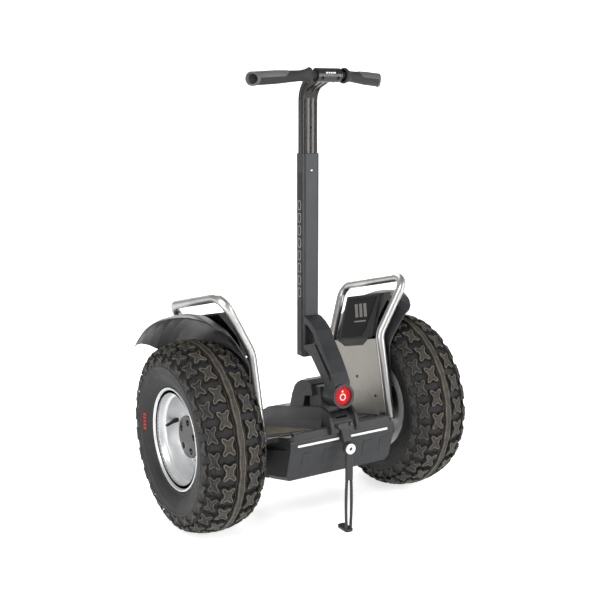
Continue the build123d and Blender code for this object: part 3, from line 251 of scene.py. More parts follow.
nodeFinishes = {
    "mouldedPlastic": ["console_lower", "console_upper", "pivot_base", "bumper_front", "bumper_rear"],
    "deckPlastic": ["deck_cover"],
    "batteryPlastic": ["battery_front", "battery_rear"],
    "fenderPlastic": ["fender_left", "fender_right"],
    "blackPlastic": ["hub_cap_left", "hub_cap_right", "charge_port", "pod_left", "pod_right"],
    "glossPanel": ["pod_faces"],
    "castDark": ["power_base_housing", "stand_bracket", "stand_leg", "lean_arm"],
    "postPaint": ["lower_shaft"],
    "clampBlack": ["clamp_cap"],
    "darkSteel": ["clamp_screws", "body_screws"],
    "flutedPost": ["upper_shaft"],
    "castSilver": ["motor_case_left", "motor_case_right", "gear_case_left", "gear_case_right"],
    "rimSilver": ["rim_left", "rim_right"],
    "handleSilver": ["handle_left", "handle_right"],
    "machinedSteel": ["lug_bolts_left", "lug_bolts_right", "axle_shaft_left", "axle_shaft_right",
                      "layshaft_left", "layshaft_right", "motor_rotor_left", "motor_rotor_right",
                      "axle_bearings", "pivot_spindle"],
    "bearingBronze": ["pivot_bushes"],
    "panelPaint": ["side_panel_left", "side_panel_right"],
    "matRubber": ["mat_left", "mat_right", "rider_sensors", "port_cover"],
    "gripRubber": ["grips", "handlebar"],
    "plateGrey": ["label_plates"],
    "reflectorWhite": ["reflective_strips", "stand_reflector"],
    "badgeRed": ["medallion"],
    "boardGreen": ["control_boards"],
    "sensorBlue": ["balance_sensor"],
    "tyreRubber": ["tyre_left", "tyre_right"],
}
for finishName, names in nodeFinishes.items():
    for nodeName in names:
        for slot in nodes[nodeName].material_slots:
            slot.material = finish(finishName)
print("CAD nodes finished")


# small tools for pieces

def makePiece(name, shape, finishName, body, smooth=False):
    bmesh.ops.recalc_face_normals(shape, faces=shape.faces)
    mesh = bpy.data.meshes.new(name)
    shape.to_mesh(mesh)
    shape.free()
    for face in mesh.polygons:
        face.use_smooth = smooth
    made = bpy.data.objects.new(name, mesh)
    bpy.context.scene.collection.objects.link(made)
    mesh.materials.append(finish(finishName))
    if body:
        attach(made, body)
    return made


def addPrism(shape, outline, lower, upper):
    # an outline of 2-D points between two mappings to 3-D
    low = [shape.verts.new(lower(*p)) for p in outline]
    high = [shape.verts.new(upper(*p)) for p in outline]
    count = len(outline)
    for i in range(count):
        j = (i + 1) % count
        shape.faces.new((low[i], low[j], high[j], high[i]))
    shape.faces.new(low)
    shape.faces.new(high)


def addLathe(shape, profile, segments):
    # a closed profile of (x, radius) turned about the X axis
    rings = []
    for i in range(segments):
        a = 2 * math.pi * i / segments
        rings.append([shape.verts.new((x, r * math.cos(a), r * math.sin(a))) for x, r in profile])
    count = len(profile)
    for i in range(segments):
        near, far = rings[i], rings[(i + 1) % segments]
        for k in range(count):
            m = (k + 1) % count
            shape.faces.new((near[k], near[m], far[m], far[k]))


def addShape(shape, other):
    # takes all of another shape into this one
    held = bpy.data.meshes.new("held")
    other.to_mesh(held)
    other.free()
    shape.from_mesh(held)


def addRod(shape, start, end, startRadius, endRadius, segments=24):
    # a closed tapered rod between two points
    axis = (end - start).normalized()
    side = axis.orthogonal().normalized()
    other = axis.cross(side)
    rings = []
    for centre, radius in ((start, startRadius), (end, endRadius)):
        ring = []
        for i in range(segments):
            a = 2 * math.pi * i / segments
            ring.append(shape.verts.new(centre + (side * math.cos(a) + other * math.sin(a)) * radius))
        rings.append(ring)
    for i in range(segments):
        j = (i + 1) % segments
        shape.faces.new((rings[0][i], rings[0][j], rings[1][j], rings[1][i]))
    shape.faces.new(rings[0])
    shape.faces.new(rings[1])


def addRings(shape, rings):
    # faces between closed rings of as many points each
    for near, far in zip(rings, rings[1:]):
        for k in range(len(near)):
            j = (k + 1) % len(near)
            shape.faces.new((near[k], near[j], far[j], far[k]))


def sharpen(made, degrees):
    made.data.set_sharp_from_angle(angle=math.radians(degrees))


# copies of a piece, each turned about X and shifted by one more step than the last

def copiesTree():
    tree = bpy.data.node_groups.new("copies", "GeometryNodeTree")
    sockets = {}
    for label, kind in (("Piece", "NodeSocketGeometry"), ("Count", "NodeSocketInt"),
                        ("Turn", "NodeSocketFloat"), ("Step", "NodeSocketVector"),
                        ("Finish", "NodeSocketMaterial")):
        sockets[label] = tree.interface.new_socket(label, in_out="INPUT", socket_type=kind).identifier
    tree.interface.new_socket("Result", in_out="OUTPUT", socket_type="NodeSocketGeometry")
    given = tree.nodes.new("NodeGroupInput")
    index = tree.nodes.new("GeometryNodeInputIndex")
    turn = addNode(tree, "ShaderNodeMath", operation="MULTIPLY")
    shift = addNode(tree, "ShaderNodeVectorMath", operation="SCALE")
    points = tree.nodes.new("GeometryNodePoints")
    rotation = addNode(tree, "FunctionNodeAxisAngleToRotation", {"Axis": (1.0, 0.0, 0.0)})
    placed = tree.nodes.new("GeometryNodeInstanceOnPoints")
    real = tree.nodes.new("GeometryNodeRealizeInstances")
    painted = tree.nodes.new("GeometryNodeSetMaterial")
    result = tree.nodes.new("NodeGroupOutput")
    for source, target in ((given.outputs["Count"], points.inputs["Count"]),
                           (index.outputs[0], turn.inputs[0]), (given.outputs["Turn"], turn.inputs[1]),
                           (given.outputs["Step"], shift.inputs[0]), (index.outputs[0], shift.inputs["Scale"]),
                           (shift.outputs[0], points.inputs["Position"]),
                           (turn.outputs[0], rotation.inputs["Angle"]),
                           (points.outputs[0], placed.inputs["Points"]),
                           (given.outputs["Piece"], placed.inputs["Instance"]),
                           (rotation.outputs[0], placed.inputs["Rotation"]),
                           (placed.outputs[0], real.inputs[0]), (real.outputs[0], painted.inputs["Geometry"]),
                           (given.outputs["Finish"], painted.inputs["Material"]),
                           (painted.outputs[0], result.inputs[0])):
        tree.links.new(source, target)
    return tree, sockets


copies, copySockets = copiesTree()


def repeated(shape, name, finishName, count, turn=0.0, step=(0.0, 0.0, 0.0)):
    seed = makePiece(name, shape, finishName, None)
    modifier = seed.modifiers.new("copies", "NODES")
    modifier.node_group = copies
    for label, value in (("Count", count), ("Turn", turn), ("Step", step), ("Finish", finish(finishName))):
        modifier[copySockets[label]] = value
    seen = seed.evaluated_get(bpy.context.evaluated_depsgraph_get())
    plain = bpy.data.meshes.new_from_object(seen)
    seed.modifiers.clear()
    seed.data = plain
    return seed


# tyres

tyre = {"radius": 265.0, "crownHalf": 76.5, "crownDrop": 17.0, "bulge": (89.0, 196.0), "bead": (66.0, 144.0),
        "seat": 127.0, "pitches": 24, "treadDepth": 10.0, "treadEdge": 98.0, "treadFade": 116.0,
        "segments": 192, "innerRow": 36.0, "outerRow": 77.0, "hookRow": 111.0, "innerBlock": (17.5, 24.5),
        "outerBlock": (16.5, 24.0), "hookBlock": (11.5, 21.0), "wall": 19.0, "beadWidth": 13.0,
        "stations": 120, "liningStations": 24, "liningShort": 18.0, "turnLeft": 0.05, "turnRight": 0.13}
# thin rings on the sidewalls: distance from the tread's middle, height and half width
wallRidges = [(129.0, 1.6, 3.0), (139.0, 0.9, 1.5), (146.0, 0.9, 1.5)]
beadRidge = {"inside": 5.0, "tall": 2.2, "half": 3.5}


def circleThrough(a, b, c):
    d = 2 * (a[0] * (b[1] - c[1]) + b[0] * (c[1] - a[1]) + c[0] * (a[1] - b[1]))
    sq = [p[0] ** 2 + p[1] ** 2 for p in (a, b, c)]
    x = (sq[0] * (b[1] - c[1]) + sq[1] * (c[1] - a[1]) + sq[2] * (a[1] - b[1])) / d
    y = (sq[0] * (c[0] - b[0]) + sq[1] * (a[0] - c[0]) + sq[2] * (b[0] - a[0])) / d
    return x, y, math.hypot(a[0] - x, a[1] - y)


crownArc = (tyre["crownHalf"] ** 2 + tyre["crownDrop"] ** 2) / (2 * tyre["crownDrop"])
crownAngle = math.asin(tyre["crownHalf"] / crownArc)
crownLength = crownArc * crownAngle
shoulder = (tyre["crownHalf"], tyre["radius"] - tyre["crownDrop"])
wallX, wallR, wallArc = circleThrough(shoulder, tyre["bulge"], tyre["bead"])
wallStart = math.atan2(shoulder[1] - wallR, shoulder[0] - wallX)
wallEnd = math.atan2(tyre["bead"][1] - wallR, tyre["bead"][0] - wallX)
skinLength = crownLength + wallArc * (wallStart - wallEnd)


def skin(u, h):
    # u runs across the tread from its middle, h is the height over the skin; gives (x, radius)
    side = 1.0 if u >= 0 else -1.0
    u = abs(u)
    if u <= crownLength:
        a = u / crownArc
        x = crownArc * math.sin(a) + h * math.sin(a)
        return side * x, tyre["radius"] - crownArc * (1 - math.cos(a)) + h * math.cos(a)
    a = wallStart - (u - crownLength) / wallArc
    return side * (wallX + (wallArc + h) * math.cos(a)), wallR + (wallArc + h) * math.sin(a)


def onTyre(u, v, h):
    # v runs round the tread in millimetres
    x, r = skin(u, h)
    a = v / tyre["radius"]
    return Vector((x * mm, r * math.cos(a) * mm, r * math.sin(a) * mm))


def outset(outline, distance):
    # moves every edge of a closed outline outwards, for outlines that run anticlockwise
    moved = []
    count = len(outline)
    for i, p in enumerate(outline):
        before, after = outline[i - 1], outline[(i + 1) % count]
        one = Vector((p[1] - before[1], before[0] - p[0])).normalized()
        two = Vector((after[1] - p[1], p[0] - after[0])).normalized()
        way = (one + two).normalized()
        reach = distance / max(0.55, way.dot(one))
        moved.append((p[0] + way.x * reach, p[1] + way.y * reach))
    return moved


def addBlock(shape, lift, outline, rings, rimDust, topDust):
    # the rim of a block's top takes more dust than its middle
    loops = []
    for grow, height in rings:
        loop = [shape.verts.new(onTyre(u, v, height)) for u, v in outset(outline, grow)]
        for vert in loop:
            vert[lift] = rimDust if -2.7 < grow < 0.35 and height > -0.6 else topDust if grow < 0 else 0.0
        loops.append(loop)
    count = len(outline)
    for lower, higher in zip(loops, loops[1:]):
        for i in range(count):
            j = (i + 1) % count
            shape.faces.new((lower[i], lower[j], higher[j], higher[i]))
    shape.faces.new(loops[-1])
    shape.faces.new(list(reversed(loops[0])))


def crossOutline(u0, v0, w, h, lean=0.0):
    # a cross-legged block: four legs, waists at its sides and notches at its ends
    quarter = [(0.56, 0.0), (0.61, 0.24), (0.88, 0.52), (1.0, 0.84), (0.82, 1.0), (0.54, 0.96), (0.24, 0.76)]
    points = [(a * w, b * h) for a, b in quarter]
    points += [(0.0, 0.68 * h)] + [(-a, b) for a, b in reversed(points[1:])]
    points += [(-0.56 * w, 0.0)] + [(-a, -b) for a, b in points[1:7]]
    points += [(0.0, -0.68 * h)] + [(a, -b) for a, b in reversed(points[1:7])]
    return [(u0 + a + lean * b, v0 + b) for a, b in points]


def treadPitch():
    shape = bmesh.new()
    lift = shape.verts.layers.float.new("lift")
    pitch = 2 * math.pi * tyre["radius"] / tyre["pitches"]
    depth = tyre["treadDepth"]
    # a block's sides as (outset, height)
    tall = [(2.4, -depth - 0.5), (0.3, -1.2), (-0.5, 0.0), (-2.6, 0.0), (-3.2, -1.3), (-4.6, -1.3),
            (-5.0, -0.3)]
    low = [(1.2, -1.5), (0.2, 2.2), (-0.4, 2.6), (-1.8, 2.6), (-2.2, 1.4)]
    for side in (-1, 1):
        inner = crossOutline(tyre["innerRow"], side * pitch / 4, *tyre["innerBlock"])
        outer = crossOutline(tyre["outerRow"], -side * pitch / 4, *tyre["outerBlock"])
        hook = crossOutline(tyre["hookRow"], side * pitch / 4, *tyre["hookBlock"])
        for outline, rings, rimDust, topDust in ((inner, tall, 0.85, 0.22), (outer, tall, 0.50, 0.07),
                                                 (hook, low, 0.22, 0.02)):
            if side < 0:
                outline = [(-u, v) for u, v in reversed(outline)]
            addBlock(shape, lift, outline, rings, rimDust, topDust)
    # the waving middle rib and the thin beads beside it
    steps = 12
    rows = []
    for k in range(steps + 1):
        v = (k / steps - 0.5) * pitch
        wide = 8.4 + 1.1 * math.cos(2 * math.pi * k / steps)
        mid = 0.3 * math.sin(2 * math.pi * k / steps)
        rib = [(-wide - 2, -depth - 0.5), (-wide, -1), (-wide + 0.8, 0), (-wide + 3, 0), (-wide + 3.6, -1.4),
               (wide - 3.6, -1.4), (wide - 3, 0), (wide - 0.8, 0), (wide, -1), (wide + 2, -depth - 0.5)]
        strips = [[(mid + u, h) for u, h in rib]]
        for way in (-1, 1):
            bead = [(-1.8, -depth - 0.5), (-0.9, -5.0), (0.9, -5.0), (1.8, -depth - 0.5)]
            strips.append([(mid + way * (wide + 5.4) + u, h) for u, h in bead])
        row = []
        for strip in strips:
            made = [shape.verts.new(onTyre(u, v, h)) for u, h in strip]
            for vert, (u, h) in zip(made, strip):
                vert[lift] = 0.75 if h > -0.6 else 0.25 if h > -2.0 else 0.2 if h > -6 else 0.0
            row.append(made)
        rows.append(row)
    for near, far in zip(rows, rows[1:]):
        for stripA, stripB in zip(near, far):
            for i in range(len(stripA) - 1):
                shape.faces.new((stripA[i], stripA[i + 1], stripB[i + 1], stripB[i]))
            shape.faces.new((stripA[0], stripB[0], stripB[-1], stripA[-1]))
    return shape


def carcass():
    shape = bmesh.new()
    shape.verts.layers.float.new("lift")
    stations = tyre["stations"]
    ridges = wallRidges + [(skinLength - beadRidge["inside"], beadRidge["tall"], beadRidge["half"])]
    outer = []
    for k in range(stations + 1):
        u = (2 * k / stations - 1) * skinLength
        fade = min(1.0, max(0.0, (tyre["treadFade"] - abs(u)) / (tyre["treadFade"] - tyre["treadEdge"])))
        height = -tyre["treadDepth"] * fade * fade * (3 - 2 * fade)
        for ridge, tall, width in ridges:
            gap = abs(abs(u) - ridge) / width
            if gap < 1:
                height += tall * (1 - gap * gap)
        outer.append(skin(u, height))
    seatX, seat = tyre["bead"][0], tyre["seat"]
    beadX = seatX - tyre["beadWidth"]
    lining = tyre["liningStations"]
    reach = skinLength - tyre["liningShort"]
    inner = [skin((2 * k / lining - 1) * reach, -tyre["wall"]) for k in range(lining + 1)]
    profile = [(-seatX, seat)] + outer + [(seatX, seat), (beadX, seat), (beadX, inner[-1][1])]
    profile += list(reversed(inner)) + [(-beadX, inner[0][1]), (-beadX, seat)]
    addLathe(shape, [(x * mm, r * mm) for x, r in profile], tyre["segments"])
    return shape


def buildTyre(side, body, node, startTurn):
    name = "treadedTyre" + side
    tread = repeated(treadPitch(), name, "tyreRubber", tyre["pitches"], 2 * math.pi / tyre["pitches"])
    full = bmesh.new()
    full.from_mesh(tread.data)
    bpy.data.objects.remove(tread)
    addShape(full, carcass())
    centre = Vector((halfTrack if side == "Left" else -halfTrack, 0, axleHeight))
    full.transform(Matrix.Translation(centre) @ Matrix.Rotation(startTurn, 4, "X"))
    made = makePiece(name, full, "tyreRubber", body)
    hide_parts(node)


buildTyre("Left", "wheel_left", "tyre_left", tyre["turnLeft"])
buildTyre("Right", "wheel_right", "tyre_right", tyre["turnRight"])
print("tyres built")

# dashes on the outer sidewalls, a plain mark

wallMark = {"radius": 172.0, "count": 5, "arc": 0.30, "width": 9.0, "fill": 0.62, "turn": 0.05, "sunk": 1.0,
            "proud": 0.7}


def buildWallMark(side, body):
    shape = bmesh.new()
    way = 1 if side == "Left" else -1
    for k in range(wallMark["count"]):
        a0 = wallMark["turn"] + (k / wallMark["count"] - 0.5) * wallMark["arc"]
        a1 = a0 + wallMark["arc"] / wallMark["count"] * wallMark["fill"]
        low, high = wallMark["radius"] - wallMark["width"] / 2, wallMark["radius"] + wallMark["width"] / 2
        outline = [(low, a0), (high, a0), (high, a1), (low, a1)]

        def at(lift):
            def place(r, a):
                height = math.sqrt(max(0.0, wallArc ** 2 - (r - wallR) ** 2))
                x = way * (halfTrack + (wallX + height + lift) * mm)
                return Vector((x, r * mm * math.cos(a), axleHeight + r * mm * math.sin(a)))
            return place
        addPrism(shape, outline, at(-wallMark["sunk"]), at(wallMark["proud"]))
    makePiece("wallMark" + side, shape, "markRed", body)


buildWallMark("Left", "wheel_left")
buildWallMark("Right", "wheel_right")

# rims: a stepped barrel, a dished centre with five spokes and pockets, a hub cover and a valve stem

rim = {"barrel": [(-71, 122), (-71, 140), (-66, 140), (-66, 127), (-50, 127), (-41, 116), (41, 116), (50, 127),
                  (66, 127), (66, 143), (69, 143), (71.5, 142), (72, 139.6), (70.5, 137), (66.5, 135),
                  (63, 131.5), (61, 127), (57, 125.2), (50, 124.4), (47, 122.4), (45.5, 118.4),
                  (43, 115.6), (37, 114.4), (20, 112.6), (2, 111), (-2, 108.5), (-41, 108.5), (-50, 120)],
       "disc": [(-17, 30.5), (-8, 30.5), (-8, 112), (-17, 112)], "segments": 128}
rimFace = {"outer": 111.5, "inner": 54.0, "front": 27.0, "back": -5.0, "recess": 10.0, "floor": -7.4,
           "seat": -7.8, "spokes": 5, "pocketIn": 66.0, "pocketOut": 106.0, "pocketHalf": 13.5,
           "pocketSide": (2.5, 0.5), "pocketEnd": 4.0, "pocketBow": 0.05, "turn": 7.0, "steps": 240,
           "rings": 34}
hubCover = {"radius": 59.0, "middle": 2.0, "bevel": 1.0, "edge": 2.0, "front": 30.0, "back": -7.8, "dome": 2.5,
            "wells": 5, "wellCircle": 41.0, "wellRadius": 8.5, "wellDepth": 11.0, "wellSide": (1.5, 0.5),
            "turn": 22.0, "steps": 120, "rings": 34}
# each length of the valve: start and end as (outwards, radius from the axle), then its radius at both
valve = {"turn": math.degrees(0.13),
         "rods": [((10, 114), (21, 108), 7.5, 6.2), ((21, 108), (45, 94), 5.0, 4.0),
                  ((45, 94), (53, 89.4), 4.6, 4.2)]}


def smoothStep(low, high, value):
    t = min(1.0, max(0.0, (value - low) / (high - low)))
    return t * t * (3 - 2 * t)


def spokeHeight(r, a):
    # how far the dished centre stands out at a radius and an angle in degrees
    period = 360 / rimFace["spokes"]
    off = abs((a + rimFace["turn"]) % period - period / 2)
    # a spoke is one flat, so its height goes by the distance along its own middle line
    flat = r * math.cos(math.radians(max(0.0, period / 2 - off) if off > rimFace["pocketHalf"] else 0.0))
    share = (flat - rimFace["inner"]) / (rimFace["outer"] - rimFace["inner"])
    start, stop = rimFace["pocketSide"]
    across = 1 - smoothStep(rimFace["pocketHalf"] - start, rimFace["pocketHalf"] - stop, off)
    end = rimFace["pocketEnd"]
    along = smoothStep(rimFace["pocketIn"] - end, rimFace["pocketIn"] + end, r)
    bowed = r + rimFace["pocketBow"] * off * off
    along *= 1 - smoothStep(rimFace["pocketOut"] - end, rimFace["pocketOut"], bowed)
    height = rimFace["front"] + (rimFace["back"] - rimFace["front"]) * share
    return max(height - rimFace["recess"] * across * along, rimFace["floor"])


def coverHeight(r, a):
    # the hub cover's dome, with a well over each bolt
    circle = hubCover["wellCircle"]
    gaps = []
    for n in range(hubCover["wells"]):
        off = math.radians(a - hubCover["turn"] - 360 * n / hubCover["wells"])
        gaps.append(math.hypot(r * math.cos(off) - circle, r * math.sin(off)))
    start, stop = hubCover["wellSide"]
    inWell = 1 - smoothStep(hubCover["wellRadius"] - start, hubCover["wellRadius"] + stop, min(gaps))
    dome = hubCover["front"] + hubCover["dome"] * (1 - (r / hubCover["radius"]) ** 2)
    return dome - hubCover["wellDepth"] * inWell


def wheelPoint(way, x, r, a):
    # x is outwards from the wheel's middle plane, a runs round the axle in degrees
    a = math.radians(a)
    return Vector((way * (halfTrack + x * mm), r * math.cos(a) * mm, axleHeight + r * math.sin(a) * mm))


def ringOf(shape, way, steps, r, height):
    # a ring of points whose height goes by radius and angle
    ring = []
    for k in range(steps):
        a = 360 * k / steps
        ring.append(shape.verts.new(wheelPoint(way, height(r, a), r, a)))
    return ring


def buildRim(side, body, node):
    way = 1 if side == "Left" else -1
    shape = bmesh.new()
    span = rimFace["outer"] - rimFace["inner"]
    radii = [rimFace["inner"] + span * i / rimFace["rings"] for i in range(rimFace["rings"] + 1)]
    rings = [ringOf(shape, way, rimFace["steps"], r, spokeHeight) for r in radii]
    for r in (radii[-1], radii[0]):
        rings.append(ringOf(shape, way, rimFace["steps"], r, lambda r, a: rimFace["seat"]))
    addRings(shape, rings + [rings[0]])
    for profile in (rim["barrel"], rim["disc"]):
        part = bmesh.new()
        addLathe(part, [(x * mm, r * mm) for x, r in profile], rim["segments"])
        part.transform(Matrix.Translation((way * halfTrack, 0, axleHeight)) @ Matrix.Scale(way, 4, (1, 0, 0)))
        bmesh.ops.recalc_face_normals(part, faces=part.faces)
        addShape(shape, part)
    made = makePiece("dishedRim" + side, shape, "rimSilver", body, smooth=True)
    sharpen(made, 32)
    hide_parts(node)


def buildHubCover(side, body, node):
    way = 1 if side == "Left" else -1
    shape = bmesh.new()
    middle, rimStart = hubCover["middle"], hubCover["radius"] - hubCover["bevel"]
    radii = [middle + (rimStart - middle) * i / hubCover["rings"] for i in range(hubCover["rings"] + 1)]
    rings = [ringOf(shape, way, hubCover["steps"], r, coverHeight) for r in radii]
    for x in (hubCover["front"] - hubCover["edge"], hubCover["back"]):
        rings.append(ringOf(shape, way, hubCover["steps"], hubCover["radius"], lambda r, a: x))
    addRings(shape, rings)
    shape.faces.new(rings[0])
    shape.faces.new(list(reversed(rings[-1])))
    made = makePiece("hubCover" + side, shape, "hubPaint", body, smooth=True)
    sharpen(made, 40)
    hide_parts(node)


def buildValve(side, body):
    way = 1 if side == "Left" else -1
    shape = bmesh.new()
    for start, end, startRadius, endRadius in valve["rods"]:
        addRod(shape, wheelPoint(way, *start, valve["turn"]), wheelPoint(way, *end, valve["turn"]),
               startRadius * mm, endRadius * mm)
    makePiece("valveStem" + side, shape, "blackPlastic", body)


for side in ("Left", "Right"):
    body = "wheel_" + side.lower()
    buildRim(side, body, "rim_" + side.lower())
    buildHubCover(side, body, "hub_cap_" + side.lower())
    buildValve(side, body)
print("rims detailed")

# steering post: side inlays with a column of plain outlined links

inlay = {"side": 26.5, "y": -33.5, "half": 10.5, "low": 470.0, "high": 975.0, "sunk": 0.5, "proud": 0.35}
links = {"count": 8, "low": 640.0, "pitch": 35.0, "half": 8.0, "tall": 13.0, "line": 1.6, "proud": 0.9,
         "corners": 24, "roundness": 0.55}
# a small button screw on the post's front, and four short dashes on the clamp
postScrew = {"y": -54.0, "z": 981.0, "radius": 3.4, "topShare": 0.75, "sunk": 0.4, "proud": 0.9}
clampDashes = {"radius": 18.5, "y": -129.7, "z": 1234.7, "low": 12.0, "high": 24.0, "sunk": 0.6, "proud": 0.3,
               "spans": [(-15, -9), (-7, -2), (0, 5), (7, 15)]}


def buildPostDetails():
    shape = bmesh.new()
    foot = world(0, postScrew["y"] + postScrew["sunk"], postScrew["z"])
    top = world(0, postScrew["y"] - postScrew["proud"], postScrew["z"])
    addRod(shape, foot, top, postScrew["radius"] * mm, postScrew["radius"] * postScrew["topShare"] * mm)
    makePiece("postScrew", shape, "machinedSteel", "lean_frame")
    shape = bmesh.new()

    def around(lift):
        def place(x, degrees):
            a = math.radians(degrees)
            r = clampDashes["radius"] + lift
            return world(x, clampDashes["y"] - r * math.cos(a), clampDashes["z"] + r * math.sin(a))
        return place
    low, high = clampDashes["low"], clampDashes["high"]
    for x0, x1 in clampDashes["spans"]:
        outline = [(x0, low), (x1, low), (x1, high), (x0, high)]
        addPrism(shape, outline, around(-clampDashes["sunk"]), around(clampDashes["proud"]))
    makePiece("clampDashes", shape, "badgeWhite", "upper_frame")


def buildPostInlays():
    shape = bmesh.new()
    for way in (-1, 1):
        y0, y1 = inlay["y"] - inlay["half"], inlay["y"] + inlay["half"]
        outline = [(y0, inlay["low"]), (y1, inlay["low"]), (y1, inlay["high"]), (y0, inlay["high"])]
        addPrism(shape, outline, lambda y, z: world(way * (inlay["side"] - inlay["sunk"]), y, z),
                 lambda y, z: world(way * (inlay["side"] + inlay["proud"]), y, z))
    makePiece("postInlays", shape, "blackPlastic", "lean_frame")
    for way, tag in ((-1, "Right"), (1, "Left")):
        link = bmesh.new()
        rings = []
        for narrower in (0.0, links["line"]):
            ring = []
            for k in range(links["corners"]):
                a = 2 * math.pi * k / links["corners"]
                c, s = math.cos(a), math.sin(a)
                y = math.copysign(abs(c) ** links["roundness"], c) * (links["half"] - narrower)
                z = math.copysign(abs(s) ** links["roundness"], s) * (links["tall"] - narrower)
                ring.append((inlay["y"] + y, links["low"] + z))
            rings.append(ring)
        for k in range(links["corners"]):
            j = (k + 1) % links["corners"]
            outline = [rings[0][k], rings[0][j], rings[1][j], rings[1][k]]
            addPrism(link, outline, lambda y, z: world(way * inlay["side"], y, z),
                     lambda y, z: world(way * (inlay["side"] + links["proud"]), y, z))
        upwards = (0.0, 0.0, links["pitch"] * mm)
        made = repeated(link, "postLinks" + tag, "plateGrey", links["count"], 0.0, upwards)
        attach(made, "lean_frame")


buildPostDetails()
buildPostInlays()

# badge mark in the pivot's medallion: a ring with a dot over it

badge = {"ring": (7.0, 9.4), "ringDrop": 3.0, "dot": 2.6, "lift": 12.6, "face": 6.0, "proud": 0.5,
         "thick": 1.0, "corners": 40, "dotCorners": 20}


def buildBadgeMark():
    steer = joints["lean_steer"]
    axis = Vector(steer["axis"]).normalized()
    centre = Vector(steer["pos_m"]) + axis * (badge["face"] - badge["proud"]) * mm
    up = Vector((1, 0, 0)).cross(axis).normalized()
    if up.z < 0:
        up = -up

    def at(depth):
        return lambda x, z: centre + Vector((x * mm, 0, 0)) + up * z * mm + axis * depth * mm
    shape = bmesh.new()
    low, high = badge["ring"]
    for k in range(badge["corners"]):
        outline = []
        for radius, n in ((low, k), (high, k), (high, k + 1), (low, k + 1)):
            a = 2 * math.pi * n / badge["corners"]
            outline.append((radius * math.cos(a), radius * math.sin(a) - badge["ringDrop"]))
        addPrism(shape, outline, at(0.0), at(badge["thick"]))
    turns = [2 * math.pi * k / badge["dotCorners"] for k in range(badge["dotCorners"])]
    dot = [(badge["dot"] * math.cos(a), badge["lift"] + badge["dot"] * math.sin(a)) for a in turns]
    addPrism(shape, dot, at(0.0), at(badge["thick"]))
    makePiece("badgeMark", shape, "badgeWhite", "lean_frame")


buildBadgeMark()

# pod marks: three slanted bars over a short line

podMark = {"footX": 207.0, "topX": 246.0, "footZ": 199.0, "topZ": 328.0, "inset": 1.0, "sunk": 0.3,
           "proud": 0.7, "bars": (-74, -51, -28), "barWidth": 15, "slant": 13, "barLow": 262, "barHigh": 302,
           "line": [(-70, 248), (-8, 248), (-8, 252), (-70, 252)]}


def buildPodMarks():
    slope = (podMark["topX"] - podMark["footX"]) / (podMark["topZ"] - podMark["footZ"])
    wide, slant, low, high = podMark["barWidth"], podMark["slant"], podMark["barLow"], podMark["barHigh"]
    bars = [[(y, low), (y + wide, low), (y + wide + slant, high), (y + slant, high)] for y in podMark["bars"]]
    bars.append(podMark["line"])
    shape = bmesh.new()
    for way in (-1, 1):
        def at(proud):
            def place(y, z):
                x = podMark["footX"] + slope * (z - podMark["footZ"]) - podMark["inset"] - proud
                return parked(way * x, y, z)
            return place
        for bar in bars:
            addPrism(shape, bar, at(-podMark["sunk"]), at(podMark["proud"]))
    makePiece("podMarks", shape, "markSilver", "chassis")


buildPodMarks()

# battery face lines, drawn as low angled ribs on both packs

batteryLines = {"faceTop": (213.0, -64.0), "faceFoot": (165.0, -149.0), "xs": (-128, -62, 18, 70, 128),
                "top": 0.16, "foot": 0.62, "reach": 30.0, "line": 1.6, "sunk": 0.3, "proud": 0.7}


def buildBatteryLines():
    yTop, zTop = batteryLines["faceTop"]
    yFoot, zFoot = batteryLines["faceFoot"]
    length = math.hypot(yTop - yFoot, zTop - zFoot)
    outY, outZ = (zTop - zFoot) / length, -(yTop - yFoot) / length
    shape = bmesh.new()
    for way in (-1, 1):
        def at(proud):
            def place(x, s):
                y = yTop + (yFoot - yTop) * s + outY * proud
                z = zTop + (zFoot - zTop) * s + outZ * proud
                return parked(x, way * y, z)
            return place
        t = batteryLines["line"]
        for x in batteryLines["xs"]:
            a, b = batteryLines["top"], batteryLines["foot"]
            lines = [[(x, a), (x + batteryLines["reach"], a), (x + batteryLines["reach"], a + t / length),
                      (x, a + t / length)], [(x, a), (x + t, a), (x + t, b), (x, b)]]
            for line in lines:
                addPrism(shape, line, at(-batteryLines["sunk"]), at(batteryLines["proud"]))
    makePiece("batteryLines", shape, "batteryPlastic", "chassis")


buildBatteryLines()

# raised field on the lower part of each side panel

panelField = {"x": 205.0, "sunk": 0.5, "proud": 0.9,
              "outline": [(96, -16), (96, 42), (19, 40), (-56, 40), (-94, -16)]}


def buildPanelFields():
    shape = bmesh.new()
    for way in (-1, 1):
        addPrism(shape, panelField["outline"],
                 lambda y, z: parked(way * (panelField["x"] + panelField["sunk"]), y, z),
                 lambda y, z: parked(way * (panelField["x"] - panelField["proud"]), y, z))
    makePiece("panelFields", shape, "panelPaint", "chassis")


buildPanelFields()
print("marks and panels added")

# grips: a soft sleeve with its end cut at a slant, and a lighter pad on its upper side

# profile is (distance from the elbow, radius); wall, padWall and capWall go down from that radius
grip = {"elbow": (44.0, -129.7, 1234.7), "end": (203.3, -81.7, 1224.1), "from": 66.0, "spread": 58.0,
        "profile": [(5, 19.5), (8, 21.5), (12, 21.0), (16, 19.0), (24, 16.0), (36, 14.2), (62, 15.2),
                    (100, 17.4), (190, 18.0)],
        "proud": 0.8, "lean": 62.0, "start": 5.0, "endRoom": 3.0, "slant": 13.0, "wall": 3.6, "padWall": 1.5,
        "capWall": 4.2, "padShort": 2.0, "capLong": 7.0, "capOver": 0.6, "softEdge": 0.5, "rows": 26,
        "turns": 48, "padTurns": 16}


def radiusAt(s):
    table = grip["profile"]
    for (s0, r0), (s1, r1) in zip(table, table[1:]):
        if s <= s1:
            return r0 + (r1 - r0) * (s - s0) / (s1 - s0)
    return table[-1][1]


